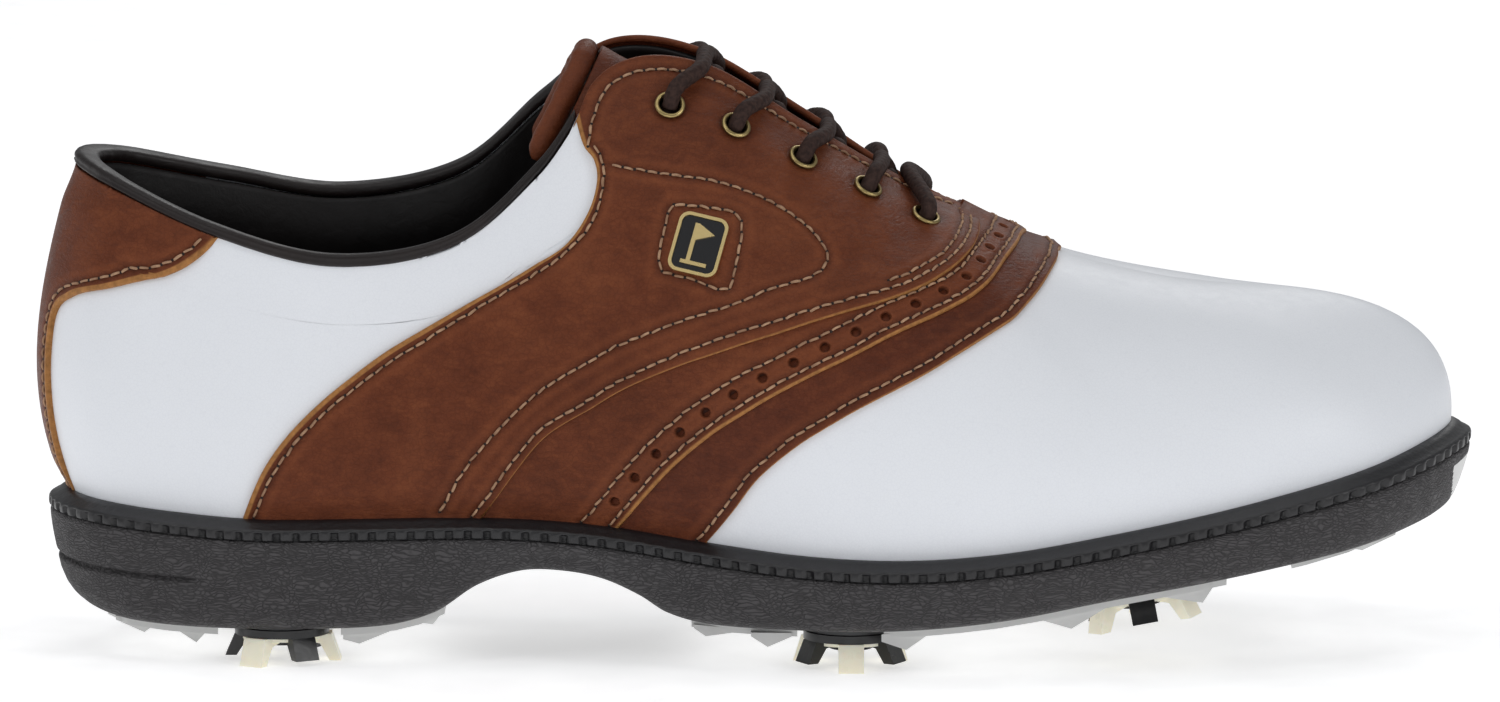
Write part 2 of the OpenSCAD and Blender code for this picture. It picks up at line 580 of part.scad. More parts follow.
// The lining stops at the collar binding and at the edges of the throat
function lining_field(u0, u1, rows, cols) =
    [for (i = [0 : rows]) [for (j = [0 : cols])
        let (u = u0 + (u1 - u0) * j / cols) [u, 0.03 + (min(rim(u), 0.99) - 0.03) * i / rows]]];
module quarter_lining() {
    F = lining_field(-9.2, 9.2, 10, 56);
    color(dark_brown) difference() {
        shell(depth_grid(F, 0, 1), depth_grid(F, lining_t, 1));
        eyelet_holes(0);
        eyelet_holes(1);
    }
}
module vamp_lining() {
    F = [for (i = [0 : 9]) [for (j = [0 : 24])
        [throat_end + (LAP - 2 * throat_end) * j / 24, 0.03 + 0.97 * i / 9]]];
    color("#3b2c27") shell(depth_grid(F, 0, 1), depth_grid(F, lining_t, 1), fold = true);
}
// Rolled binding along the top of the collar
module collar_binding() {
    steps = 56;
    color(dark_brown) bar([for (k = [0 : steps])
        let (u = -binding_end + 2 * binding_end * k / steps, n = normal(u, 0.96),
            up = unit(last_pt(u, 1) - last_pt(u, 0.94)), c = last_pt(u, 1) - up * (binding_h / 2 - 0.35) - 1.5 * n)
        [for (a = [0 : 36 : 324]) c - 2.1 * sin(a) * n + binding_h / 2 * cos(a) * up]]);
}

// ---- Tongue ------------------------------------------------------------
// Stations from the base to the top: x, z of the crown, half width and depth
TONGUE = [
    [46, 87.6, 9, 1.5], [33, 91.2, 14, 4.5], [10, 104.0, 19.5, 10],
    [-12, 117.0, 20.5, 16], [-33, 127.6, 17.5, 24]
];
tongue_y = ridge_y;
arc_end = 78;
function tongue_row(v) = seam(TONGUE, v);
function tongue_dir(v) =
    let (a = tongue_row(min(v + 0.02, 1)), b = tongue_row(max(v - 0.02, 0)), d = unit([a[0] - b[0], a[1] - b[1]]))
    [d[0], 0, d[1]];
// Point on the tongue: v from base to top, a the angle round it, d outwards
function tongue_pt(v, a, d) =
    let (r = tongue_row(v), t = tongue_dir(v), down = [-t[2], 0, t[0]],
        drop = r[3] * (1 - cos(a)) / (1 - cos(arc_end)))
    [r[0], tongue_y + (r[2] + d) * sin(a) / sin(arc_end), r[1]] + (drop - d) * down;
function tongue_grid(v0, v1, spread, d) =
    [for (i = [0 : 12]) [for (j = [0 : 14])
        tongue_pt(v1 + (v0 - v1) * j / 14, spread * (2 * i / 12 - 1), d)]];
module tongue_layer(v0, v1, spread, top, bottom) {
    shell(tongue_grid(v0, v1, spread, top), tongue_grid(v0, v1, spread, bottom));
}
tongue_skin_t = 1.2;
tongue_back_t = 0.9;
tongue_gap = 0.2;
module tongue_leather() {
    color(brown) tongue_layer(0, 1, arc_end, 0, -tongue_skin_t);
}
module tongue_foam() {
    color(foam_col) tongue_layer(0.08, 0.98, arc_end - 8, -tongue_skin_t - tongue_gap,
        -tongue_skin_t - tongue_gap - tongue_foam_t);
}
module tongue_lining() {
    color(dark_brown) tongue_layer(0, 1, arc_end - 2, -tongue_skin_t - 2 * tongue_gap - tongue_foam_t,
        -tongue_skin_t - 2 * tongue_gap - tongue_foam_t - tongue_back_t);
}
module tongue_binding() {
    t = tongue_dir(1);
    mid = (tongue_skin_t + tongue_foam_t + tongue_back_t) / 2;
    path = [for (k = [0 : 16]) tongue_pt(1, arc_end * (k / 8 - 1), -mid) + (tongue_roll_r + 0.1) * t];
    color(brown) tube(path, tongue_roll_r);
}

// ---- Lacing ------------------------------------------------------------
module eyelets(side) {
    color(gold) for (i = [0 : len(EYELETS) - 1])
        on_skin(eyelet_at(i, side)[0], eyelet_at(i, side)[1]) rotate_extrude($fn = 40) polygon([
            [eyelet_hole_d / 2, -2.6], [barrel_r, -2.6], [barrel_r, 0.1], [eyelet_d / 2 - 0.1, 0.1],
            [eyelet_d / 2, 0.35], [eyelet_d / 2 - 0.5, 0.7], [eyelet_hole_d / 2 + 0.3, 0.75],
            [eyelet_hole_d / 2, 0.4]]);
}
module eyelets_lateral() { eyelets(0); }
module eyelets_medial() { eyelets(1); }

lace_under = -4.3;   // depth of a strand that runs under a facing
lace_over = 2.0;     // height of a strand that runs over a facing
function side_u(u, side) = side == 0 ? u : LAP - u;
function throat_mid(u) = (last_pt(u, 1) + last_pt(LAP - u, 1)) / 2;
// Strand from eyelet i on one side over the throat to eyelet i + 1 on the other
function crossing(i, side) =
    let (a = EYELETS[i], b = EYELETS[i + 1], far = 1 - side, lift = side == 0 ? 1.3 : -2.3,
        uo = a[0] + 0.46 * (b[0] - a[0]), um = a[0] + 0.58 * (b[0] - a[0]), ui = a[0] + 0.76 * (b[0] - a[0]),
        edge_in = last_pt(side_u(ui, far), 1), mid = throat_mid(ui))
    [skin(side_u(a[0], side), a[1], 0.2), skin(side_u(a[0] + 0.08, side), a[1] + 0.04, 2.4),
        skin(side_u(uo, side), 0.975, lace_over), throat_mid(um) + [0, 0, lift],
        edge_in + 2.6 * unit(mid - edge_in) - [0, 0, 1.4], skin(side_u(ui + 0.02, far), 0.95, lace_under),
        skin(side_u(b[0], far), b[1] + 0.01, lace_under + 0.2)];
function reversed(K) = [for (i = [len(K) - 1 : -1 : 0]) K[i]];
last_eye = EYELETS[4];
lace_bar = [
    skin(last_eye[0], last_eye[1], 0.2), skin(last_eye[0] + 0.02, last_eye[1] + 0.03, 2.3),
    throat_mid(last_eye[0] + 0.05) + [0, 0, 2.0],
    skin(LAP - last_eye[0] - 0.02, last_eye[1] + 0.03, 2.3), skin(LAP - last_eye[0], last_eye[1], 0.2)
];
LACE = concat(crossing(0, 0), crossing(1, 1), crossing(2, 0), crossing(3, 1), lace_bar,
    reversed(crossing(3, 0)), reversed(crossing(2, 1)), reversed(crossing(1, 0)), reversed(crossing(0, 1)));
module lace() {
    color(dark_brown) tube(LACE, lace_d / 2);
}

// Tucked lace end inside the shoe, as u, h and depth inside the leather: down
// the wall from the top eyelet, then back along the sockliner to its tip
TAIL = [
    [6.70, 0.885, -0.2], [6.68, 0.875, -3.4], [6.58, 0.82, -4.4], [6.45, 0.74, -4.6],
    [6.30, 0.64, -5.2], [6.15, 0.54, -6.0], [5.98, 0.44, -6.6], [5.80, 0.33, -7.2],
    [5.58, 0.225, -7.8], [5.28, 0.145, -8.2], [4.92, 0.11, -8.0], [4.50, 0.10, -7.4],
    [4.05, 0.095, -7.0], [3.60, 0.095, -6.8], [3.15, 0.095, -6.8], [2.75, 0.095, -6.8]
];
function tail(side) = [for (k = TAIL) skin(side_u(k[0], side), k[1], k[2])];
module lace_tail_lateral() {
    color(dark_brown) tube(run_through(tail(0), 2), lace_d / 2);
}
module lace_tail_medial() {
    color(dark_brown) tube(run_through(tail(1), 2), lace_d / 2);
}
module aglet(side) {
    p = tail(side);
    n = len(p) - 1;
    d = unit(p[n] - p[n - 1]);
    color("#5a3c28") translate(p[n]) rotate([0, acos(d[2]), atan2(d[1], d[0])])
        rotate_extrude($fn = 32) polygon([[0, 0.05], [lace_d / 2 + 0.1, 0.05],
            [lace_d / 2 + 0.1, aglet_len - 1], [lace_d / 2 - 0.7, aglet_len], [0, aglet_len]]);
}
module aglet_lateral() { aglet(0); }
module aglet_medial() { aglet(1); }

// ---- Badge -------------------------------------------------------------
BADGE = [6.65, 0.612];
badge_tilt = 13;
badge_gap = 0.3;
// Put children on the badge's face, with +Y up the shoe
module on_badge(d) {
    n = normal(BADGE[0], BADGE[1]);
    up = unit([0, 0, 1] - n[2] * n);
    side = cross(up, n);
    p = skin(BADGE[0], BADGE[1], d);
    multmatrix([
        [side[0], up[0], n[0], p[0]], [side[1], up[1], n[1], p[1]], [side[2], up[2], n[2], p[2]],
        [0, 0, 0, 1]]) rotate(-badge_tilt) children();
}
module rounded_plate(w, h, r) {
    square([w - 2 * r, h], center = true);
    square([w, h - 2 * r], center = true);
    for (x = [-1, 1], y = [-1, 1]) translate([x * (w / 2 - r), y * (h / 2 - r)]) circle(r = r, $fn = 24);
}
module badge_frame() {
    color(gold) on_badge(badge_gap) difference() {
        linear_extrude(1.6) rounded_plate(badge_w, badge_h, 2.2);
        translate([0, 0, 0.6]) linear_extrude(2) rounded_plate(badge_w - 1.4, badge_h - 1.4, 1.6);
    }
}
module badge_enamel() {
    color("#101012") on_badge(badge_gap) translate([0, 0, 0.62])
        linear_extrude(0.6) rounded_plate(badge_w - 1.5, badge_h - 1.5, 1.55);
}
// A plain flag on a pin
module badge_emblem() {
    color(gold) on_badge(badge_gap) translate([0, 0, 1.24]) linear_extrude(0.35) {
        translate([-1.7, -4.2]) square([0.9, 8.6]);
        polygon([[-0.8, 4.4], [2.9, 2.6], [-0.8, 0.8]]);
        translate([-2.8, -4.6]) square([5.6, 0.8]);
    }
}

outsole();
welt();
heel_traction_plate();
forefoot_traction_plate();
toe_traction_plate();
midsole_foam();
shank();
insole_board();
sockliner();
cleat_receptacles();
cleat_1_core();
cleat_1_soft_legs();
cleat_2_core();
cleat_2_soft_legs();
cleat_3_core();
cleat_3_soft_legs();
cleat_4_core();
cleat_4_soft_legs();
cleat_5_core();
cleat_5_soft_legs();
cleat_6_core();
cleat_6_soft_legs();
vamp();
front_wing();
brogue_band();
lateral_saddle();
medial_saddle();
lateral_quarter();
medial_quarter();
heel_overlay();
collar_binding();
collar_foam();
heel_counter();
toe_puff();
quarter_lining();
vamp_lining();
tongue_leather();
tongue_foam();
tongue_lining();
tongue_binding();
eyelets_lateral();
eyelets_medial();
lace();
lace_tail_lateral();
lace_tail_medial();
aglet_lateral();
aglet_medial();
badge_frame();
badge_enamel();
badge_emblem();
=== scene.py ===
"""Looks of the right golf shoe, built round its CAD frame. Lengths are in millimetres until a mesh is made."""
import math

import bmesh
import bpy
import numpy as np
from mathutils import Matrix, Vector
from mathutils.bvhtree import BVHTree
from mathutils.kdtree import KDTree


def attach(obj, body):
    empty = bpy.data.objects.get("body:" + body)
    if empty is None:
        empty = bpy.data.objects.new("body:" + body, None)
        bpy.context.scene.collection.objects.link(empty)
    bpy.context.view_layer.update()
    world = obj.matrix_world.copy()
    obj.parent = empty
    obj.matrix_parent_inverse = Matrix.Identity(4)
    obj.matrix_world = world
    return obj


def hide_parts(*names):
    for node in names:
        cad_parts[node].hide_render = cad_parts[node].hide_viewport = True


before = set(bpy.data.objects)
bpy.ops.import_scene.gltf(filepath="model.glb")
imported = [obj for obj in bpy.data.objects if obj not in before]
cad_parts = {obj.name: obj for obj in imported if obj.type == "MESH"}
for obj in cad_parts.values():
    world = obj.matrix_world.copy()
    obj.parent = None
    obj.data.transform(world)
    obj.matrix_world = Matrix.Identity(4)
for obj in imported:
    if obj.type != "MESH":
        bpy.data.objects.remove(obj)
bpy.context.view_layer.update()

MM = 0.001
random = np.random.default_rng(11)
SHOE = "shoe"
TONGUE_BODY = "tongue"

# ---- The last, as in the CAD model ------------------------------------------
# Feather edge x, y; top edge x, y, z; lean at the foot; rise at the top; and how
# hard the wall is held to those two directions. Station 0 is the heel, 12 the toe.
STATIONS = np.array([
    [-146.6, 0.0, -143.5, 0.0, 105.8, 24, 75, 26, 26],
    [-138.0, -21.5, -136.0, -15.0, 102.3, 20, 78, 25, 24],
    [-114.5, -31.5, -114.0, -25.0, 93.0, 14, 82, 22, 22],
    [-87.0, -33.0, -89.0, -28.5, 87.0, 12, 84, 20, 20],
    [-60.0, -32.5, -64.0, -27.0, 91.0, 12, 80, 22, 22],
    [-33.0, -34.5, -46.0, -23.0, 106.0, 14, 72, 28, 28],
    [-6.0, -39.0, -31.0, -14.5, 124.5, 18, 55, 32, 36],
    [21.0, -45.5, -12.0, -9.5, 125.0, 22, 42, 32, 36],
    [49.0, -49.0, 10.0, -6.0, 112.0, 24, 30, 28, 34],
    [77.0, -48.2, 33.0, -1.5, 98.5, 22, 18, 24, 32],
    [105.5, -43.0, 58.0, 2.0, 86.2, 16, 6, 22, 28],
    [131.0, -29.5, 84.0, 2.0, 79.0, 10, 1, 20, 26],
    [147.7, 3.5, 108.0, 2.0, 76.6, 4, 3, 20, 24],
    [134.5, 33.0, 84.0, 2.0, 79.0, 10, 1, 20, 26],
    [110.0, 44.5, 58.0, 2.0, 86.2, 14, 6, 22, 28],
    [81.0, 49.0, 33.0, 5.5, 98.5, 18, 18, 24, 30],
    [53.0, 48.0, 10.0, 10.0, 113.0, 18, 30, 28, 32],
    [25.0, 42.0, -12.0, 13.5, 125.6, 14, 42, 32, 32],
    [-3.0, 35.0, -31.0, 18.0, 127.2, 10, 58, 32, 32],
    [-31.0, 30.5, -46.0, 24.0, 116.0, 10, 74, 28, 28],
    [-59.0, 29.5, -64.0, 27.5, 100.5, 10, 82, 24, 24],
    [-87.0, 30.5, -89.0, 28.5, 95.3, 12, 84, 22, 22],
    [-114.5, 30.0, -114.0, 24.5, 99.5, 14, 82, 24, 24],
    [-138.0, 21.0, -136.0, 15.0, 104.7, 20, 78, 25, 25],
])
LAP = len(STATIONS)
RIDGE_Y = 2.0
THROAT_END = 9.4
THROAT_FADE = 0.4
FEATHER = np.array([
    [-152, 34.8], [-140, 34.4], [-125, 33.2], [-105, 32.0], [-80, 32.2], [-55, 32.4],
    [-34, 31.2], [-10, 27.8], [9, 25.8], [30, 25.4], [51, 27.2], [73, 31.0], [94, 35.1],
    [115, 39.7], [136, 44.8], [150, 48.5],
])
TREAD = np.array([
    [-152, 17.0], [-147, 13.0], [-140, 10.2], [-130, 8.5], [-108, 7.9], [-80, 8.5],
    [-68, 11.4], [-59, 17.2], [-50, 20.3], [-42, 20.5], [-33, 19.0], [-25, 15.6],
    [-19, 12.0], [-10, 9.8], [9, 9.2], [30, 9.8], [51, 12.2], [72, 16.2], [94, 19.9],
    [115, 23.5], [136, 27.4], [147, 30.0], [153, 34.0],
])
UP = np.array([0.0, 0.0, 1.0])


def unit(v):
    return v / np.linalg.norm(v, axis=-1, keepdims=True)


def smooth(t):
    k = np.clip(t, 0, 1)
    return k * k * (3 - 2 * k)


def cubic(a, b, c, d, t):
    return 0.5 * (2 * b + (c - a) * t + (2 * a - 5 * b + 4 * c - d) * t * t
                  + (3 * b - a - 3 * c + d) * t ** 3)


def along(table, x):
    """Height at x of a smooth curve through a table of x, z."""
    xs, zs = table[:, 0], table[:, 1]
    lo = np.clip(np.arange(len(xs)) - 1, 0, None)
    hi = np.clip(np.arange(len(xs)) + 1, None, len(xs) - 1)
    slope = (zs[hi] - zs[lo]) / (xs[hi] - xs[lo])
    i = np.clip(np.searchsorted(xs, x, side="right") - 1, 0, len(xs) - 2)
    w = xs[i + 1] - xs[i]
    t = np.clip((x - xs[i]) / w, 0, 1)
    return ((2 * t ** 3 - 3 * t * t + 1) * zs[i] + (t ** 3 - 2 * t * t + t) * w * slope[i]
            + (3 * t * t - 2 * t ** 3) * zs[i + 1] + (t ** 3 - t * t) * w * slope[i + 1])


def feather_z(x):
    return along(FEATHER, x)


def tread_z(x):
    return along(TREAD, x)


def row(u):
    v = np.mod(u, LAP)
    i = np.floor(v).astype(int) % LAP
    t = (v - np.floor(v))[..., None]
    return cubic(STATIONS[(i - 1) % LAP], STATIONS[i], STATIONS[(i + 1) % LAP], STATIONS[(i + 2) % LAP], t)


def inward(u):
    d = unit(row(u + 0.03)[..., :2] - row(u - 0.03)[..., :2])
    return np.stack([-d[..., 1], d[..., 0], np.zeros_like(d[..., 0])], -1)


def from_heel(u):
    v = np.mod(u, LAP)
    return np.minimum(v, LAP - v)


def last_pt(u, h):
    """Point on the last: u round the shoe, h from the feather edge (0) to the top (1)."""
    u, h = np.broadcast_arrays(np.asarray(u, float), np.asarray(h, float))
    r, n = row(u), inward(u)
    q = smooth((from_heel(u) - THROAT_END + THROAT_FADE) / THROAT_FADE)
    lean, rise = np.radians(r[..., 5:6]), np.radians(r[..., 6:7])
    foot = np.stack([r[..., 0], r[..., 1], feather_z(r[..., 0])], -1)
    top = np.stack([r[..., 2], r[..., 3] * (1 - q) + RIDGE_Y * q, r[..., 4]], -1)
    lo = foot + r[..., 7:8] * (np.cos(lean) * UP - np.sin(lean) * n)
    hi = top - r[..., 8:9] * (np.cos(rise) * n + np.sin(rise) * UP)
    h = h[..., None]
    k = 1 - h
    return k ** 3 * foot + 3 * k * k * h * lo + 3 * k * h * h * hi + h ** 3 * top


def side_normal(u, h):
    k = np.clip(h, 0.02, 0.97)
    return unit(np.cross(last_pt(u + 0.04, k) - last_pt(u - 0.04, k),
                         last_pt(u, k + 0.01) - last_pt(u, k - 0.01)))


def normal(u, h):
    """Outward direction. It turns smoothly over the ridge where the two sides meet."""
    u, h = np.broadcast_arrays(np.asarray(u, float), np.asarray(h, float))
    n = side_normal(u, h)
    share = 0.5 * smooth((h - 0.88) / 0.12) * smooth((from_heel(u) - THROAT_END + 0.3) / 0.3)
    other = side_normal(LAP - u, h)
    return unit(n * (1 - share[..., None]) + other * share[..., None])


def skin(u, h, d):
    return last_pt(u, h) + np.asarray(d)[..., None] * normal(u, h)


# ---- Seams, as u, h from the feather edge upwards ------------------------------
HEEL_SEAM = np.array([
    [0.45, 0], [0.455, 0.14], [0.46, 0.28], [0.47, 0.42], [0.53, 0.55], [0.78, 0.615], [1.15, 0.672], [1.48, 0.745],
    [1.53, 0.755], [1.57, 0.765], [1.62, 0.777], [1.75, 0.82], [1.87, 0.87], [1.99, 0.93], [2.10, 1],
])
SADDLE_REAR = np.array([
    [2.25, 0], [2.43, 0.19], [2.69, 0.36], [3.04, 0.515], [3.51, 0.665], [4.10, 0.75], [4.83, 0.745],
    [5.28, 0.732], [5.60, 0.748], [5.77, 0.785], [5.78, 0.83], [5.65, 0.89], [5.50, 1],
])
SADDLE_FRONT = np.array([
    [4.08, 0], [4.36, 0.147], [4.66, 0.254], [5.10, 0.32], [5.45, 0.358], [5.97, 0.388], [6.51, 0.418],
    [7.14, 0.465], [7.80, 0.532], [8.28, 0.585], [8.64, 0.64], [8.97, 0.71], [9.27, 0.805],
    [9.50, 0.94], [9.57, 1],
])
BAND_FRONT = np.array([
    [5.15, 0], [5.38, 0.09], [5.67, 0.174], [6.04, 0.244], [6.46, 0.30], [6.91, 0.355], [7.44, 0.418],
    [7.94, 0.486], [8.45, 0.55], [8.87, 0.616], [9.27, 0.71], [9.65, 0.84], [9.94, 1],
])
WING_FRONT = np.array([
    [5.83, 0], [6.06, 0.08], [6.35, 0.164], [6.77, 0.241], [7.21, 0.304], [7.71, 0.371], [8.20, 0.437],
    [8.73, 0.515], [9.14, 0.585], [9.54, 0.685], [9.93, 0.83], [10.24, 1],
])
# Curved double line of decoration inside the saddle
SCROLL = np.array([
    [3.75, .017], [3.96, .167], [4.26, .291], [4.59, .375], [4.92, .418], [5.39, .452], [5.95, .465],
    [6.67, .498], [7.12, .538], [7.47, .572], [7.68, .609], [7.77, .649], [7.73, .679], [7.62, .705],
    [7.42, .722], [7.02, .735], [6.61, .745], [6.25, .766], [5.97, .796],
])
BADGE_STITCH = np.array([
    [6.55, .689], [6.80, .684], [7.04, .679], [7.10, .662], [6.95, .595], [6.78, .535], [6.70, .529],
    [6.47, .550], [6.22, .570], [6.20, .586], [6.36, .640], [6.50, .684], [6.55, .689],
])
EYELETS = [(6.70, 0.885), (7.31, 0.870), (7.90, 0.870), (8.45, 0.862), (8.90, 0.835)]
BINDING_END = 5.5
WALL_TOP = 0.962


def seam(knots, t):
    n = len(knots) - 1
    f = np.clip(t, 0, 1) * n
    i = np.minimum(np.floor(f).astype(int), n - 1)
    return cubic(knots[np.maximum(i - 1, 0)], knots[i], knots[i + 1], knots[np.minimum(i + 2, n)],
                 (f - i)[..., None])


def rim(u):
    q = smooth((from_heel(u) - BINDING_END) / 0.25)
    return WALL_TOP + (1 - WALL_TOP) * q


def over(knots):
    """The other side of the shoe."""
    return knots * [-1, 1] + [LAP, 0]


# ---- Meshes ----------------------------------------------------------------------
def piece(name, verts, faces, materials, body=SHOE, face_material=None, fields=None, weld=0.0):
    """A smooth-shaded mesh from millimetre points, riding on a body."""
    mesh = bpy.data.meshes.new(name)
    mesh.from_pydata((np.asarray(verts) * MM).tolist(), [], [list(map(int, f)) for f in faces])
    for m in materials:
        mesh.materials.append(m)
    if face_material is not None:
        mesh.polygons.foreach_set("material_index", np.asarray(face_material, np.int32))
    for key, values in (fields or {}).items():
        mesh.attributes.new(key, "FLOAT", "POINT").data.foreach_set("value", np.asarray(values, np.float32))
    made = bpy.data.objects.new(name, mesh)
    bpy.context.scene.collection.objects.link(made)
    tidy = bmesh.new()
    tidy.from_mesh(mesh)
    if weld:
        bmesh.ops.remove_doubles(tidy, verts=tidy.verts, dist=weld * MM)
    bmesh.ops.recalc_face_normals(tidy, faces=tidy.faces)
    tidy.to_mesh(mesh)
    tidy.free()
    mesh.polygons.foreach_set("use_smooth", np.ones(len(mesh.polygons), bool))
    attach(made, body)
    return made


def quads(rows, cols, start=0, wrap_rows=False, wrap_cols=False):
    i, j = np.meshgrid(np.arange(rows if wrap_rows else rows - 1),
                       np.arange(cols if wrap_cols else cols - 1), indexing="ij")
    k, l = (i + 1) % rows, (j + 1) % cols
    return np.stack([i * cols + j, i * cols + l, k * cols + l, k * cols + j], -1).reshape(-1, 4) + start


def closed_shell(outer, inner, fold=False):
    """Vertices and faces of a closed solid between two grids of points. A fold joins the last row to itself."""
    rows, cols = outer.shape[:2]
    half = rows * cols
    border = np.concatenate([np.arange(cols), cols * np.arange(1, rows) + cols - 1,
                             half - 2 - np.arange(cols - 1), cols * np.arange(rows - 2, 0, -1)])
    nxt = np.roll(border, -1)
    wall = np.stack([border, nxt, nxt + half, border + half], -1)
    if fold:
        wall = wall[np.minimum(border, nxt) < (rows - 1) * cols]
    faces = np.concatenate([quads(rows, cols), quads(rows, cols, half)[:, ::-1], wall])
    return np.concatenate([outer.reshape(-1, 3), inner.reshape(-1, 3)]), faces


def travelled(path):
    """Distance travelled along a path, at each of its points."""
    return np.concatenate([[0], np.cumsum(np.linalg.norm(np.diff(path, axis=0), axis=1))])


def frames_along(path, start=UP):
    """Two directions across a path at each point, with no twist."""
    heading = unit(np.gradient(path, axis=0))
    side, k = [], np.asarray(start, float)
    for t in heading:
        k = k - (k @ t) * t
        if np.linalg.norm(k) < 1e-3:
            k = np.cross(t, [1.0, 0.0, 0.0])
        k = k / np.linalg.norm(k)
        side.append(k)
    side = np.array(side)
    return side, np.cross(heading, side)


def smooth_path(points, spacing):
    """Evenly spaced points on a smooth curve through the given ones."""
    p = np.asarray(points, float)
    n = len(p) - 1
    t = np.linspace(0, n, n * 24 + 1)
    i = np.minimum(np.floor(t).astype(int), n - 1)
    fine = cubic(p[np.maximum(i - 1, 0)], p[i], p[i + 1], p[np.minimum(i + 2, n)], (t - i)[:, None])
    s = travelled(fine)
    at = np.linspace(0, s[-1], max(int(s[-1] / spacing), 2) + 1)
    return np.stack([np.interp(at, s, fine[:, c]) for c in range(3)], -1)


def tube_mesh(path, radius, sides, braid=0.0, pitch=4.0, taper=0):
    """A tube along a path. A braid lifts strands that wind both ways round it."""
    a, b = frames_along(path)
    s = travelled(path)
    w = np.linspace(0, 2 * np.pi, sides, endpoint=False)
    weave = np.maximum(np.sin(4 * w + 2 * np.pi * s[:, None] / pitch),
                       np.sin(4 * w - 2 * np.pi * s[:, None] / pitch))
    r = np.broadcast_to(np.asarray(radius, float), (len(path),))[:, None] * (1 + braid * (weave - 0.5))
    if taper:
        ends = np.minimum(np.arange(len(path)), np.arange(len(path))[::-1])
        r = r * np.sqrt(np.clip((ends + 0.35) / taper, 0, 1))[:, None]
    rings = path[:, None] + r[..., None] * (np.cos(w)[:, None] * a[:, None] + np.sin(w)[:, None] * b[:, None])
    caps = [list(range(sides))[::-1], list(range((len(path) - 1) * sides, len(path) * sides))]
    return rings.reshape(-1, 3), quads(len(path), sides, wrap_cols=True).tolist() + caps


def join(parts):
    """Several (vertices, faces) pairs as one."""
    verts, faces, start = [], [], 0
    for v, f in parts:
        verts.append(v)
        faces += [[i + start for i in face] for face in f]
        start += len(v)
    return np.concatenate(verts), faces


# ---- Materials -------------------------------------------------------------------
def shader(name, **fixed):
    """A material with its Principled shader, and a helper that makes and links nodes."""
    made = bpy.data.materials.new(name)
    made.use_nodes = True
    tree = made.node_tree
    bsdf = tree.nodes["Principled BSDF"]
    for key, value in fixed.items():
        bsdf.inputs[key.replace("_", " ")].default_value = value

    def node(kind, links=(), **values):
        n = tree.nodes.new("ShaderNode" + kind)
        for key, value in values.items():
            if key in n.inputs:
                n.inputs[key].default_value = value
            else:
                setattr(n, key, value)
        for socket, source in dict(links).items():
            tree.links.new(source, n.inputs[socket])
        return n

    return made, tree, bsdf, node


def object_coords(node, stretch=(1, 1, 1), turn=(0, 0, 0)):
    coords = node("TexCoord")
    mapping = node("Mapping", {"Vector": coords.outputs["Object"]})
    mapping.inputs["Scale"].default_value = stretch
    mapping.inputs["Rotation"].default_value = turn
    return mapping.outputs["Vector"]


def ramp(node, source, stops, interpolation="LINEAR"):
    r = node("ValToRGB", {"Fac": source})
    r.color_ramp.interpolation = interpolation
    while len(r.color_ramp.elements) < len(stops):
        r.color_ramp.elements.new(0.5)
    for element, (at, colour) in zip(r.color_ramp.elements, stops):
        element.position = at
        element.color = (*colour, 1)
    return r.outputs["Color"]


def mix(node, a, b, factor=None, share=0.5, how="MIX"):
    m = node("Mix", data_type="RGBA", blend_type=how)
    links = m.id_data.links
    for socket, source in ((m.inputs[6], a), (m.inputs[7], b)):
        if isinstance(source, tuple):
            socket.default_value = (*source, 1)
        else:
            links.new(source, socket)
    m.inputs[0].default_value = share
    if factor is not None:
        links.new(factor, m.inputs[0])
    return m.outputs[2]


def span(node, source, low, high, into_low, into_high):
    n = node("MapRange", {"Value": source})
    for key, value in (("From Min", low), ("From Max", high), ("To Min", into_low), ("To Max", into_high)):
        n.inputs[key].default_value = value
    return n.outputs["Result"]


def noise(node, vector, scale, detail=6.0, roughness=0.55, distortion=0.0):
    return node("TexNoise", {"Vector": vector}, Scale=scale, Detail=detail, Roughness=roughness,
                Distortion=distortion).outputs["Fac"]


def cells(node, vector, scale, feature="DISTANCE_TO_EDGE"):
    v = node("TexVoronoi", {"Vector": vector}, feature=feature)
    v.inputs["Scale"].default_value = scale
    return v.outputs["Distance"]


def bump(node, bsdf, layers):
    """Bump layers as (height, strength, distance in metres), one over the other."""
    last = None
    for height, strength, distance in layers:
        n = node("Bump", {"Height": height}, Strength=strength, Distance=distance)
        if last is not None:
            n.id_data.links.new(last, n.inputs["Normal"])
        last = n.outputs["Normal"]
    bsdf.id_data.links.new(last, bsdf.inputs["Normal"])


def field(node, name):
    return node("Attribute", attribute_name=name).outputs["Fac"]


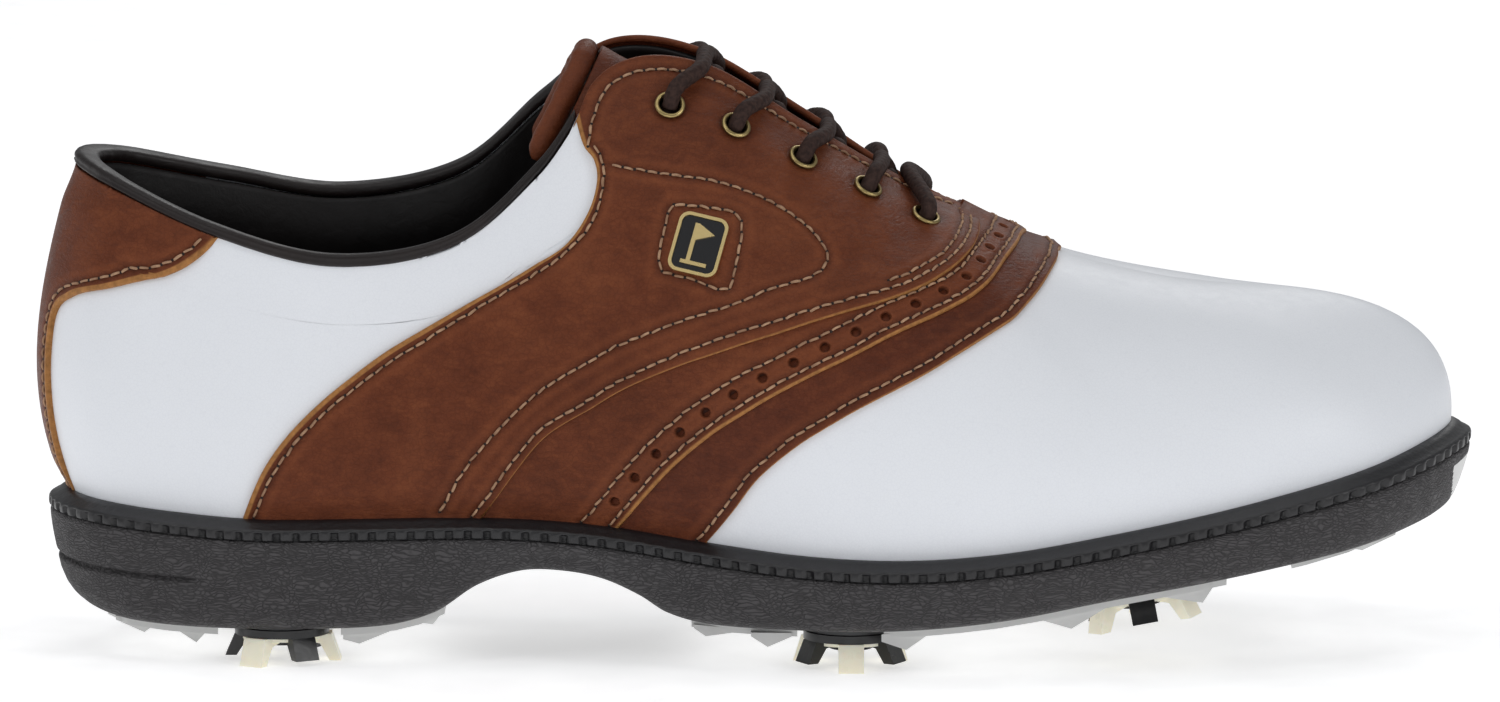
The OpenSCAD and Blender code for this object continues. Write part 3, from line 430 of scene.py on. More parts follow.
def brown_leather(name, dark, mid, light, tan=(0.42, 0.19, 0.06)):
    """Pull-up leather: cloudy colour, lighter where it is bent and where painted highlights are laid, darker where
    painted shade is laid, tan at a cut edge.
    """
    made, tree, bsdf, node = shader(name, Roughness=0.45, Specular_IOR_Level=0.14)
    place = object_coords(node)
    clouds = noise(node, place, 22, 7, 0.6, 0.9)
    blotches = noise(node, object_coords(node, (1.0, 1.0, 1.6), (0, 0.5, 0)), 240, 8, 0.66, 0.6)
    colour = mix(node, ramp(node, clouds, [(0.32, dark), (0.5, mid), (0.70, light)]),
                 ramp(node, blotches, [(0.32, dark), (0.52, mid), (0.72, light)]), share=0.5)
    pores = cells(node, place, 900)
    grain = noise(node, place, 1500, 3)
    colour = mix(node, colour, (0.55, 0.5, 0.46), span(node, pores, 0, 0.12, 0.35, 0), how="MULTIPLY")
    scuffs = noise(node, object_coords(node, (1.0, 1.0, 5.0), (0.2, 0.9, 0)), 210, 4, 0.6, 1.4)
    colour = mix(node, colour, light, span(node, scuffs, 0.62, 0.78, 0, 0.5))
    # Lighter where the leather bends, and where painted highlights are laid
    colour = mix(node, colour, tuple(min(1, 1.25 * c) for c in light), span(node, field(node, "pull_and_highlight"), 0, 1, 0, 0.6))
    # Darker by the dark field: painted shade in grooves, holes, dents and along overlapping edges
    colour = mix(node, colour, (0.25, 0.2, 0.18), span(node, field(node, "dark"), 0, 1, 0, 0.95), how="MULTIPLY")
    fibres = noise(node, place, 900, 5)
    edge = ramp(node, fibres, [(0.3, tuple(0.6 * c for c in tan)), (0.7, tan)])
    colour = mix(node, colour, edge, span(node, field(node, "cut"), 0.25, 0.8, 0, 1))
    tree.links.new(colour, bsdf.inputs["Base Color"])
    tree.links.new(span(node, blotches, 0.3, 0.75, 0.36, 0.56), bsdf.inputs["Roughness"])
    creases = noise(node, object_coords(node, (1.0, 1.0, 2.5), (0.1, 0.6, 0)), 330, 6, 0.65, 1.8)
    bump(node, bsdf, [(creases, 0.5, 0.0006), (pores, 0.35, 0.00012), (grain, 0.2, 0.0001)])
    return made


def white_leather(name, colour=(0.80, 0.82, 0.86)):
    """Smooth white leather with fine pores."""
    made, tree, bsdf, node = shader(name, Roughness=0.4, Specular_IOR_Level=0.35)
    place = object_coords(node)
    clouds = noise(node, place, 18, 5, 0.5)
    base = ramp(node, clouds, [(0.3, tuple(0.965 * c for c in colour)), (0.7, colour)])
    pores = cells(node, place, 1300)
    base = mix(node, base, (0.93, 0.93, 0.94), span(node, pores, 0, 0.1, 0.5, 0), how="MULTIPLY")
    # Darker by the dark field: painted shade along the edges of overlapping panels
    base = mix(node, base, (0.45, 0.40, 0.36), span(node, field(node, "dark"), 0, 1, 0, 0.8), how="MULTIPLY")
    tree.links.new(base, bsdf.inputs["Base Color"])
    fine = noise(node, place, 420, 6, 0.6)
    tree.links.new(span(node, fine, 0.3, 0.7, 0.36, 0.5), bsdf.inputs["Roughness"])
    bump(node, bsdf, [(fine, 0.22, 0.0004), (pores, 0.3, 0.00008)])
    return made


def collar_leather(name, colour, roughness=(0.33, 0.5)):
    """Soft dark leather of the binding and the lining."""
    made, tree, bsdf, node = shader(name, Specular_IOR_Level=0.3)
    place = object_coords(node)
    wide = noise(node, place, 45, 6, 0.6)
    base = ramp(node, wide, [(0.3, tuple(0.7 * c for c in colour)), (0.7, tuple(1.25 * c for c in colour))])
    tree.links.new(base, bsdf.inputs["Base Color"])
    pores = cells(node, place, 1100)
    tree.links.new(span(node, noise(node, place, 260, 5), 0.3, 0.7, *roughness), bsdf.inputs["Roughness"])
    bump(node, bsdf, [(noise(node, place, 300, 7, 0.65, 1.0), 0.35, 0.0005), (pores, 0.35, 0.0001)])
    return made


def pebbled_rubber(name, colour, cell=1150):
    """Rubber moulded with a leather-like pebble that runs round the shoe."""
    made, tree, bsdf, node = shader(name, Roughness=0.62, Specular_IOR_Level=0.3)
    wander = node("TexNoise", {"Vector": object_coords(node)}, Scale=160.0, Detail=2.0)
    place = node("VectorMath", {0: wander.outputs["Color"]}, operation="SCALE")
    place.inputs["Scale"].default_value = 0.0055
    shifted = node("VectorMath", {0: place.outputs[0], 1: object_coords(node, (0.42, 0.42, 1.45))}, operation="ADD")
    pebble = cells(node, shifted.outputs[0], cell)
    deep = span(node, pebble, 0.0, 0.22, 0, 1)
    # Darker in the pebble's hollows and lighter on its tops: painted shade and painted highlight
    base = ramp(node, deep, [(0.0, tuple(0.5 * c for c in colour)), (0.7, colour),
                             (1.0, tuple(1.2 * c for c in colour))])
    tree.links.new(base, bsdf.inputs["Base Color"])
    tree.links.new(span(node, noise(node, object_coords(node), 240, 5), 0.3, 0.7, 0.5, 0.72), bsdf.inputs["Roughness"])
    bump(node, bsdf, [(deep, 0.8, 0.00025), (noise(node, object_coords(node), 2400, 2), 0.2, 0.0001)])
    return made


def moulded(name, colour, roughness, grain=900, strength=0.2, **fixed):
    """Moulded plastic or rubber with a fine spark-eroded texture."""
    made, tree, bsdf, node = shader(name, **fixed)
    place = object_coords(node)
    cloud = noise(node, place, 60, 5)
    base = ramp(node, cloud, [(0.3, tuple(0.86 * c for c in colour)), (0.7, colour)])
    tree.links.new(base, bsdf.inputs["Base Color"])
    tree.links.new(span(node, noise(node, place, 300, 6), 0.3, 0.7, roughness * 0.85, roughness * 1.15),
                   bsdf.inputs["Roughness"])
    bump(node, bsdf, [(noise(node, place, grain, 4), strength, 0.00025)])
    return made


def metal(name, colour, roughness):
    """Metal with a worn, slightly uneven polish."""
    made, tree, bsdf, node = shader(name, Metallic=1.0)
    place = object_coords(node)
    wear = noise(node, place, 260, 4, 0.5)
    base = ramp(node, wear, [(0.3, tuple(0.78 * c for c in colour)), (0.6, colour)])
    tree.links.new(base, bsdf.inputs["Base Color"])
    tree.links.new(span(node, wear, 0.3, 0.7, roughness * 1.15, roughness * 0.85), bsdf.inputs["Roughness"])
    bump(node, bsdf, [(noise(node, place, 2600, 3), 0.06, 0.00003)])
    return made


def thread(name, dark, light, gloss=0.3, scale=350):
    """Twisted thread."""
    made, tree, bsdf, node = shader(name, Roughness=0.72, Specular_IOR_Level=gloss)
    tone = noise(node, object_coords(node), scale, 3)
    tree.links.new(ramp(node, tone, [(0.35, dark), (0.65, light)]), bsdf.inputs["Base Color"])
    bump(node, bsdf, [(noise(node, object_coords(node), 3500, 2), 0.5, 0.0001)])
    return made


# Dark, middle and light tones of the two browns
BROWN = brown_leather("chestnut_leather", (0.074, 0.017, 0.006), (0.130, 0.033, 0.012), (0.205, 0.060, 0.022))
DEEP_BROWN = brown_leather("deep_chestnut_leather", (0.054, 0.012, 0.005), (0.103, 0.025, 0.010), (0.170, 0.048, 0.018))
WHITE = white_leather("white_leather")
COLLAR = collar_leather("collar_leather", (0.012, 0.008, 0.0075))
LINING = collar_leather("lining_leather", (0.0065, 0.005, 0.005), (0.45, 0.6))
WELT = moulded("welt_rubber", (0.009, 0.0085, 0.010), 0.4, 700, 0.5)
SIDEWALL = pebbled_rubber("sidewall_rubber", (0.050, 0.047, 0.049))
TREAD_RUBBER = moulded("tread_rubber", (0.030, 0.029, 0.030), 0.6, 600, 0.5)
GREY = moulded("grey_traction", (0.66, 0.66, 0.65), 0.42, 1400, 0.12)
# The cream legs glow a little through their emission: painted light
CREAM = moulded("cream_cleat", (0.94, 0.90, 0.74), 0.3, 1200, 0.1, Subsurface_Weight=0.25,
                Subsurface_Radius=(0.003, 0.002, 0.001), Subsurface_Scale=1.0, Emission_Color=(1.0, 0.95, 0.78, 1),
                Emission_Strength=0.10)
BLACK = moulded("black_cleat", (0.012, 0.012, 0.013), 0.32, 1200, 0.15)
BRASS = metal("antique_brass", (0.42, 0.32, 0.14), 0.34)
GOLD = metal("badge_gold", (0.93, 0.72, 0.33), 0.3)
ENAMEL = moulded("badge_enamel", (0.006, 0.006, 0.007), 0.16, 500, 0.0, Coat_Weight=0.8, Coat_Roughness=0.05)
LACE_BRAID = thread("lace_braid", (0.020, 0.0095, 0.0075), (0.044, 0.023, 0.018), 0.2, 1100)
AGLET = moulded("aglet_film", (0.06, 0.035, 0.022), 0.18, 900, 0.05, Coat_Weight=0.6)
STITCH = thread("beige_thread", (0.26, 0.145, 0.085), (0.44, 0.27, 0.165))
# Near-black plugs for the needle holes: painted shade
NEEDLE_HOLE_SHADE = moulded("needle_hole_painted_shade", (0.012, 0.005, 0.003), 0.8)
FOAM = moulded("foam", (0.72, 0.68, 0.6), 0.85, 800, 0.8)
BOARD = moulded("fibre_board", (0.42, 0.30, 0.17), 0.8, 700, 0.6)
STEEL = metal("shank_steel", (0.55, 0.55, 0.56), 0.3)
SOCK = collar_leather("sockliner_textile", (0.030, 0.021, 0.019), (0.7, 0.9))
NYLON = moulded("receptacle_nylon", (0.05, 0.05, 0.053), 0.45)

# ---- Camera, lights and floor ------------------------------------------------------
CAMERA_DISTANCE = 2000.0
CAMERA_RISE = math.radians(8)
VIEW_WIDTH = 1500 * 0.2125       # what the picture spans at the shoe
AIM = np.array([-1.7, 0.0, 62.7])


def make_camera():
    data = bpy.data.cameras.new("camera")
    data.sensor_width = 36
    data.lens = data.sensor_width * CAMERA_DISTANCE / VIEW_WIDTH
    data.clip_start = 0.05
    cam = bpy.data.objects.new("camera", data)
    back = np.array([0, -math.cos(CAMERA_RISE), math.sin(CAMERA_RISE)])
    cam.location = (AIM + CAMERA_DISTANCE * back) * MM
    cam.rotation_euler = (math.pi / 2 - CAMERA_RISE, 0, 0)
    bpy.context.scene.collection.objects.link(cam)
    bpy.context.scene.camera = cam


def area_light(name, place, size, power, colour=(1, 1, 1)):
    data = bpy.data.lights.new(name, "AREA")
    data.shape, data.size, data.energy, data.color = "DISK", size, power, colour
    made = bpy.data.objects.new(name, data)
    made.location = place
    made.rotation_euler = (Vector((0, 0, 0.06)) - made.location).to_track_quat("-Z", "Y").to_euler()
    bpy.context.scene.collection.objects.link(made)


def make_studio():
    """Soft boxes and a light table, with little light from behind the camera, so that dark leather stays dark."""
    bpy.context.scene.view_settings.view_transform = "Standard"
    area_light("top_light", (-0.1, -0.25, 1.6), 1.5, 5)
    area_light("key_light", (-1.0, -1.1, 1.25), 0.7, 4.6)
    area_light("front_light", (1.25, -0.9, 0.9), 0.6, 5.2)
    area_light("low_light", (0.0, -1.7, 0.12), 0.6, 1.6)
    area_light("back_light", (0.3, 1.5, 1.2), 0.9, 5)
    area_light("heel_light", (-1.5, 0.3, 0.5), 0.6, 1.8)
    world = bpy.data.worlds.new("studio")
    bpy.context.scene.world = world
    world.use_nodes = True
    world.node_tree.nodes["Background"].inputs["Color"].default_value = (0.96, 0.98, 1.0, 1)
    world.node_tree.nodes["Background"].inputs["Strength"].default_value = 0.30
    mesh = bpy.data.meshes.new("floor")
    reach = 6.0
    corners = [(-reach, -reach, 0), (reach, -reach, 0), (reach, reach, 0), (-reach, reach, 0)]
    mesh.from_pydata(corners, [], [(0, 1, 2, 3)])
    floor = bpy.data.objects.new("floor", mesh)
    # A light table: pale, and lit a little from within, as shoes are photographed
    mesh.materials.append(moulded("light_table", (0.86, 0.86, 0.87), 0.8, 300, 0.05, Specular_IOR_Level=0.1,
                                  Emission_Color=(1, 1, 1, 1), Emission_Strength=0.55))
    bpy.context.scene.collection.objects.link(floor)


# ---- Lace tails --------------------------------------------------------------------
LACE_R = 1.7
# Tucked lace end as u, h and depth inside the leather, repeated from the CAD model
TAIL = [
    (6.70, 0.885, -0.2), (6.68, 0.875, -3.4), (6.58, 0.82, -4.4), (6.45, 0.74, -4.6),
    (6.30, 0.64, -5.2), (6.15, 0.54, -6.0), (5.98, 0.44, -6.6), (5.80, 0.33, -7.2),
    (5.58, 0.225, -7.8), (5.28, 0.145, -8.2), (4.92, 0.11, -8.0), (4.50, 0.10, -7.4),
    (4.05, 0.095, -7.0), (3.60, 0.095, -6.8), (3.15, 0.095, -6.8), (2.75, 0.095, -6.8),
]


def side_u(u, side):
    return u if side == 0 else LAP - u


def make_tail(side, label):
    route = np.array([skin(side_u(u, side), h, d) for u, h, d in TAIL])
    path = smooth_path(route, 0.45)
    verts, faces = tube_mesh(path, LACE_R, 20, braid=0.035)
    cord = piece("lace_tail_cord_" + label, verts, faces, [LACE_BRAID])
    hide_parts("lace_tail_" + label)
    end = path[-1]
    out = unit(route[-1] - route[-2])
    stations = np.array([[0.05, 1.86], [0.5, 1.8], [1.2, 1.72], [3.0, 1.7], [18.6, 1.66], [19.4, 1.3], [19.8, 0.7]])
    tip_path = end + out * stations[:, :1]
    verts, faces = tube_mesh(tip_path, stations[:, 1], 24)
    tip = piece("aglet_tip_" + label, verts, faces, [AGLET])
    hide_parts("aglet_" + label)


make_camera()
make_tail(0, "lateral")
make_tail(1, "medial")
make_studio()

# ---- Leather panels ------------------------------------------------------------------
EDGE_R = 0.42        # rounding of a panel's cut edge
FOOT_TUCK = 1.4      # how far a panel runs down behind the welt
EDGE_TURN = np.radians([0, 30, 60, 90])
GROOVE_DEPTH = 0.22
GROOVE_R = 0.75
THREAD_R = 0.29


def metric(a, b):
    """Length of each row between two edges, and how square each edge is to its row."""
    pa, pb = last_pt(a[:, 0], a[:, 1]), last_pt(b[:, 0], b[:, 1])
    w = np.linspace(0, 1, 24)
    q = a[:, None] + (b - a)[:, None] * w[:, None]
    p = last_pt(q[..., 0], q[..., 1])
    length = np.linalg.norm(np.diff(p, axis=1), axis=2).sum(1)
    ta, tb = unit(np.gradient(pa, axis=0)), unit(np.gradient(pb, axis=0))
    ra, rb = unit(p[:, 1] - p[:, 0]), unit(p[:, -1] - p[:, -2])
    fa = np.linalg.norm(np.cross(ta, ra), axis=1)
    fb = np.linalg.norm(np.cross(tb, rb), axis=1)
    return length, np.clip(fa, 0.35, 1), np.clip(fb, 0.35, 1)


def inset(a, b, distance):
    """The edge b moved back towards a by a distance across the leather."""
    length, _, fb = metric(a, b)
    return b + (a - b) * (distance / (fb * length))[:, None]


def faired(line, reach=6):
    """A line with its small kinks smoothed out, its ends kept."""
    window = np.hanning(2 * reach + 3)[1:-1]
    padded = np.pad(line, ((reach, reach), (0, 0)), mode="reflect", reflect_type="odd")
    return np.stack([np.convolve(padded[:, c], window / window.sum(), "valid") for c in range(2)], -1)


def panel_grid(a, b, cols, edge_a, edge_b, hidden=5.0):
    """Points across a panel. An edge is 'cut' (rounded, with a wall) or 'under' (runs on under its neighbour)."""
    length, fa, fb = metric(a, b)
    steps = EDGE_R * (1 - np.cos(EDGE_TURN))
    near_a = [0.0, *steps] if edge_a == "cut" else [-hidden, -hidden / 2]
    near_b = [0.0, *steps] if edge_b == "cut" else [-hidden, -hidden / 2]
    ins_a, ins_b = near_a[-1] if edge_a == "cut" else 0, near_b[-1] if edge_b == "cut" else 0
    wa = np.array(near_a)[None] / (fa * length)[:, None]
    wb = 1 - np.array(near_b)[None, ::-1] / (fb * length)[:, None]
    lo, hi = (ins_a / (fa * length))[:, None], (1 - ins_b / (fb * length))[:, None]
    inner = lo + (hi - lo) * (np.arange(cols) + (0 if edge_a == "under" else 1))[None] / (cols + 1)
    w = np.concatenate([wa, inner, wb], 1)
    q = a[:, None] + (b - a)[:, None] * w[..., None]
    return q, w * (fa * length)[:, None], (1 - w) * (fb * length)[:, None], len(near_a), len(near_b)


class Panel:
    """One piece of upper leather between two seams, built as a closed sheet."""

    def __init__(self, name, node, slot, material, a, b, cols, edge_a, edge_b, lift, base=0.0,
                 both_sides=False, roll=False, fold=False, thickness=1.1, tan=(0.0, 0.0)):
        rows_a, rows_b = a, b
        if both_sides:
            rows_a, rows_b = np.concatenate([a, over(a)[-2::-1]]), np.concatenate([b, over(b)[-2::-1]])
            near = panel_grid(a, b, cols, edge_a, edge_b)
            far = panel_grid(over(a), over(b), cols, edge_a, edge_b)
            q, da, db = (np.concatenate([near[k], far[k][-2::-1]]) for k in range(3))
            na, nb = near[3], near[4]
        else:
            q, da, db, na, nb = panel_grid(a, b, cols, edge_a, edge_b)
        self.rows_a, self.rows_b = rows_a, rows_b
        u, h = q[..., 0], np.minimum(q[..., 1], rim(q[..., 0]))
        h = np.clip(h, 0, 1)
        top = lift(u, h, da, db) * (0.4 + 0.6 * smooth(h / 0.1))
        cut = np.zeros_like(top)
        floor = np.full_like(top, base) if np.isscalar(base) else base(u, h, da, db)
        sink = EDGE_R * (1 - np.sin(EDGE_TURN))
        if edge_a == "cut":
            top[:, 0] = floor[:, 0] - 0.25
            top[:, 1:na] -= sink
            cut[:, :na] = [1, 1, 0.8, 0.4, 0.0]
        if edge_b == "cut":
            top[:, -1] = floor[:, -1] - 0.25
            top[:, -nb:-1] -= sink[::-1]
            cut[:, -nb:] = [0.0, 0.4, 0.8, 1, 1]
        for near, width in zip((da, db), tan):
            if width:
                cut = np.maximum(cut, 0.95 * (1 - smooth((near - width + 0.2) / 0.4)))
        self.name, self.u, self.h, self.top, self.cut = name, u, h, top, cut
        self.place, self.out = last_pt(u, h), normal(u, h)
        self.node, self.slot, self.material = node, slot, material
        self.thickness, self.roll, self.fold = thickness, roll, fold
        self.both_sides = both_sides
        # Painted shade (dark), and painted highlight with lightening where leather bends, laid on by groove, holes and
        # rolled
        self.dark = np.zeros_like(top)
        self.pull_and_highlight = np.zeros_like(top)
        self.sunk = np.zeros_like(top)
        self.tree = None

    def near(self, points, reach):
        """Distance from each grid point to the nearest of some points on the last."""
        tree = KDTree(len(points))
        for i, p in enumerate(points):
            tree.insert(p, i)
        tree.balance()
        flat = self.place.reshape(-1, 3)
        lo, hi = points.min(0) - reach, points.max(0) + reach
        found = np.full(len(flat), 1e3)
        for i in np.nonzero(((flat > lo) & (flat < hi)).all(1))[0]:
            found[i] = tree.find(flat[i])[2]
        return found.reshape(self.top.shape)

    def groove(self, line, depth=GROOVE_DEPTH, radius=GROOVE_R):
        d = self.near(on_last(line, 0.4), 3)
        dip = np.exp(-(d / radius) ** 2)
        self.sunk += depth * dip
        # Painted shade in the stitch groove, and a painted highlight on the leather beside it
        self.dark = np.maximum(self.dark, 0.42 * dip)
        self.pull_and_highlight = np.maximum(self.pull_and_highlight, 0.35 * np.exp(-((d - 1.9) / 0.8) ** 2))

    def holes(self, centres, radius=0.98, depth=1.0):
        d = self.near(centres, 3)
        inside = 1 - smooth((d - radius + 0.16) / 0.32)
        self.sunk += depth * inside - 0.10 * np.exp(-((d - radius - 0.45) / 0.3) ** 2)
        # Painted shade inside each perforation, and a painted highlight round its rim
        self.dark = np.maximum(self.dark, inside)
        self.pull_and_highlight = np.maximum(self.pull_and_highlight, 0.55 * np.exp(-((d - radius - 0.4) / 0.28) ** 2))

    def build(self, openings=()):
        top = self.top - self.sunk
        outer = self.place + top[..., None] * self.out
        inner = self.place - (self.thickness + 0 * top)[..., None] * self.out
        fields = [self.cut, self.dark, self.pull_and_highlight]
        first = outer[:1] - FOOT_TUCK * UP
        outer = np.concatenate([first, outer])
        inner = np.concatenate([inner[:1] - FOOT_TUCK * UP, inner])
        fields = [np.concatenate([f[:1], f]) for f in fields]
        if self.both_sides:
            outer = np.concatenate([outer, outer[-1:] - FOOT_TUCK * UP])
            inner = np.concatenate([inner, inner[-1:] - FOOT_TUCK * UP])
            fields = [np.concatenate([f, f[-1:]]) for f in fields]
        if self.roll:
            outer, inner, fields = self.rolled(outer, inner, fields)
        verts, faces = closed_shell(outer, inner, self.fold)
        faces = punched(verts, faces, openings)
        zero = np.zeros(outer.shape[0] * outer.shape[1])
        fields = {k: np.concatenate([f.ravel(), zero]) for k, f in zip(("cut", "dark", "pull_and_highlight"), fields)}
        made = piece(self.name, verts, faces, [self.material], fields=fields, weld=0.004)
        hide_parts(self.node)
        self.tree = tree_of(made)
        return made

    def rolled(self, outer, inner, fields):
        """Carries the last row round a rolled edge and in under it."""
        radius = (0.85 - 0.75 * smooth((from_heel(self.u[-1]) - 9.2) / 0.25))[:, None]
        up = unit(last_pt(self.u[-1], 1.0) - last_pt(self.u[-1], 0.97))
        out = self.out[-1]
        start = outer[-1]
        rows = []
        for angle in np.radians([20, 40, 60, 80, 100, 120, 140, 160, 180]):
            rows.append(start + radius * (math.sin(angle) * up - (1 - math.cos(angle)) * out))
        outer = np.concatenate([outer, np.array(rows)])
        back = start - 2 * radius * out - 0.1 * up
        inner = np.concatenate([inner, np.repeat(back[None], len(rows), 0)])
        # Painted highlight over the top of the roll, weaker underneath
        lit = np.linspace(0.2, 0.9, len(rows))[:, None] * np.ones(len(start))
        more = [np.zeros_like(lit), np.zeros_like(lit), np.where(lit < 0.6, 0.45, 0.1)]
        return outer, inner, [np.concatenate([f, m]) for f, m in zip(fields, more)]


def punched(verts, faces, openings, reach=5.0):
    """Faces left when round holes are punched along each opening's axis."""
    keep = np.ones(len(faces), bool)
    middle = verts[faces].mean(1)
    for centre, axis, radius in openings:
        rel = middle - centre
        deep = rel @ axis
        keep &= (np.linalg.norm(rel - deep[:, None] * axis, axis=1) > radius) | (np.abs(deep) > reach)
    return faces[keep]


def tree_of(made):
    co = np.zeros(len(made.data.vertices) * 3)
    made.data.vertices.foreach_get("co", co)
    return BVHTree.FromPolygons((co.reshape(-1, 3) / MM).tolist(), [list(p.vertices) for p in made.data.polygons])


def on_last(line, spacing):
    """Evenly spaced points on the last along a line of u, h."""
    return last_pt(*spread_uh(line, spacing).T)


def spread_uh(line, spacing):
    """Evenly spaced u, h along a line of u, h."""
    s = travelled(last_pt(line[:, 0], line[:, 1]))
    at = np.linspace(0, s[-1], max(int(round(s[-1] / spacing)), 2) + 1)
    return np.stack([np.interp(at, s, line[:, c]) for c in (0, 1)], -1)


def drop_onto(tree, u, h):
    """Where a point of the last meets a finished piece, and the direction out of it."""
    out = normal(u, h)
    start = last_pt(u, h) + 9 * out
    hit = tree.ray_cast(Vector(start), Vector(-out), 14)[0]
    if hit is None:
        return start - 9 * out, out
    return np.array(hit), out


STITCH_PITCH = 2.55


def stitches(name, lines, trees, pitch=STITCH_PITCH):
    """Rows of thread, each stitch dipping into a needle hole at both ends."""
    parts, kinds = [], []
    for line, tree in zip(lines, trees):
        q = spread_uh(line, pitch)
        spots = [drop_onto(tree, u, h) for u, h in q]
        for (p0, n0), (p1, n1) in zip(spots, spots[1:]):
            along_it, out = unit(p1 - p0), unit(n0 + n1)
            across = np.cross(out, along_it)
            sway = 0.10 * random.standard_normal(2)
            a = p0 + 0.17 * (p1 - p0) + sway[0] * across
            b = p1 - 0.17 * (p1 - p0) + sway[1] * across
            path = np.array([a - 0.45 * out - 0.1 * along_it, a + 0.05 * out, a * 0.7 + b * 0.3 + 0.24 * out,
                             (a + b) / 2 + 0.28 * out, a * 0.3 + b * 0.7 + 0.24 * out, b + 0.05 * out,
                             b - 0.45 * out + 0.1 * along_it])
            fat = THREAD_R * (1 + 0.08 * random.standard_normal())
            v, f = tube_mesh(path, fat * np.array([0.7, 0.9, 1, 1, 1, 0.9, 0.7]), 6)
            parts.append((v, f))
            kinds += [0] * len(f)
            # A dark plug in each needle hole: painted shade
            turn = np.linspace(0, 2 * np.pi, 8, endpoint=False)[:, None]
            rim_pts = p0 + 0.36 * (np.cos(turn) * along_it + np.sin(turn) * across)
            v = np.concatenate([rim_pts + 0.05 * out, rim_pts - 0.3 * out])
            f = quads(2, 8, wrap_cols=True).tolist() + [list(range(8))[::-1], list(range(8, 16))]
            parts.append((v, f))
            kinds += [1] * len(f)
    verts, faces = join(parts)
    return piece(name, verts, faces, [STITCH, NEEDLE_HOLE_SHADE], face_material=kinds)


def crown(h):
    """Leather is skived thin where it meets the collar binding and the facings."""
    return 1 - 0.75 * smooth((h - 0.84) / 0.12)


# How far the rows of stitching stand in from the edges
EDGE_ROW = 2.1
WING_ROW = 1.9
FACING_ROWS = (1.8, 3.5)
BAND_ROW_LOW = 1.8
BAND_ROW_HIGH = 6.7
HOLE_PITCH = 7.0
TAN_STRIP = 0.95       # width of the pale edge that shows beside a cut
SADDLE_T = 1.2
WING_LIFT = 1.1
BAND_LIFT = 1.9


def saddle_lift(u, h, da, db):
    return SADDLE_T * crown(h) + 1.6 * smooth(1 - db / 13) * (1 - 0.5 * smooth((h - 0.84) / 0.12))


def saddle_floor(u, h, da, db):
    return BAND_LIFT * smooth(1 - db / 9)


def flat_lift(height):
    return lambda u, h, da, db: height + 0 * u


def skived(height):
    return lambda u, h, da, db: height * crown(h)


ROWS = 190


def rows_of(knots, count=ROWS):
    return seam(knots, np.linspace(0, 1, count))


def eyelet_spots(side):
    spots = []
    for u, h in EYELETS:
        w = side_u(u, side)
        spots.append((skin(w, h, SADDLE_T), normal(w, h)))
    return spots


def make_vamp():
    a = rows_of(WING_FRONT, 110)
    vamp = Panel("vamp_leather", "vamp", "white_leather", WHITE, a, over(a), 231, "under", "under",
                 flat_lift(0), fold=True)
    # Painted shade along the wing's overlapping edge
    vamp.dark = 0.25 * np.exp(-np.minimum(vamp_gap(vamp, 0), vamp_gap(vamp, 1)) / 0.7)
    vamp.build()


def vamp_gap(vamp, side):
    """Distance from the wing's edge, for the painted shade cast along it."""
    a = rows_of(WING_FRONT, 300)
    return vamp.near(on_last(a if side == 0 else over(a), 0.8), 5)


def make_quarters():
    for side, label in ((0, "lateral"), (1, "medial")):
        a, b = rows_of(HEEL_SEAM, 120), rows_of(SADDLE_REAR, 120)
        if side:
            a, b = over(a), over(b)
        quarter = Panel(label + "_quarter_leather", label + "_quarter", "white_leather", WHITE, a, b, 110,
                        "under", "under", flat_lift(0))
        near = np.minimum(quarter.near(on_last(a, 0.8), 5), quarter.near(on_last(b, 0.8), 5))
        # Painted shade along the edges of the brown panels that overlap the quarter
        quarter.dark = 0.3 * np.exp(-near / 0.7)
        quarter.build()


def make_heel_overlay():
    b = rows_of(HEEL_SEAM, 150)
    a = b * [-1, 1]
    overlay = Panel("heel_overlay_leather", "heel_overlay", "brown_leather", BROWN, a, b, 150, "cut", "cut",
                    skived(SADDLE_T), tan=(TAN_STRIP, TAN_STRIP))
    lines = [faired(inset(a, b, EDGE_ROW)), faired(inset(b, a, EDGE_ROW))]
    lines = [q[q[:, 1] < 0.945] for q in lines]
    for q in lines:
        overlay.groove(q)
    overlay.build()
    stitches("heel_overlay_stitching", lines, [overlay.tree] * 2)


def make_wing_and_band():
    saddle, band, wing = rows_of(SADDLE_FRONT, 260), rows_of(BAND_FRONT, 260), rows_of(WING_FRONT, 260)
    front = Panel("front_wing_leather", "front_wing", "brown_leather", DEEP_BROWN, band, wing, 34, "under", "cut",
                  flat_lift(WING_LIFT), both_sides=True)
    lines = both([inset(band, wing, WING_ROW)])
    for q in lines:
        front.groove(q)
    front.build()
    stitches("front_wing_stitching", lines, [front.tree] * 2)

    saddle, band = rows_of(SADDLE_FRONT, 520), rows_of(BAND_FRONT, 520)
    brogue = Panel("brogue_band_leather", "brogue_band", "brown_leather", BROWN, saddle, band, 66, "under", "cut",
                   flat_lift(BAND_LIFT), base=WING_LIFT, both_sides=True, tan=(0.0, 0.6 * TAN_STRIP))
    lines = both([inset(saddle, band, BAND_ROW_LOW), inset(saddle, band, BAND_ROW_HIGH)])
    for q in lines:
        brogue.groove(q)
    spots = both([spread_uh(inset(saddle, band, (BAND_ROW_LOW + BAND_ROW_HIGH) / 2), HOLE_PITCH)[1:]])
    spots = np.concatenate(spots)
    brogue.holes(last_pt(spots[:, 0], spots[:, 1]))
    brogue.build()
    stitches("brogue_band_stitching", lines, [brogue.tree] * 4)


def both(lines):
    """Lines on the outer side, and the same on the inner side."""
    return lines + [over(q) for q in lines]


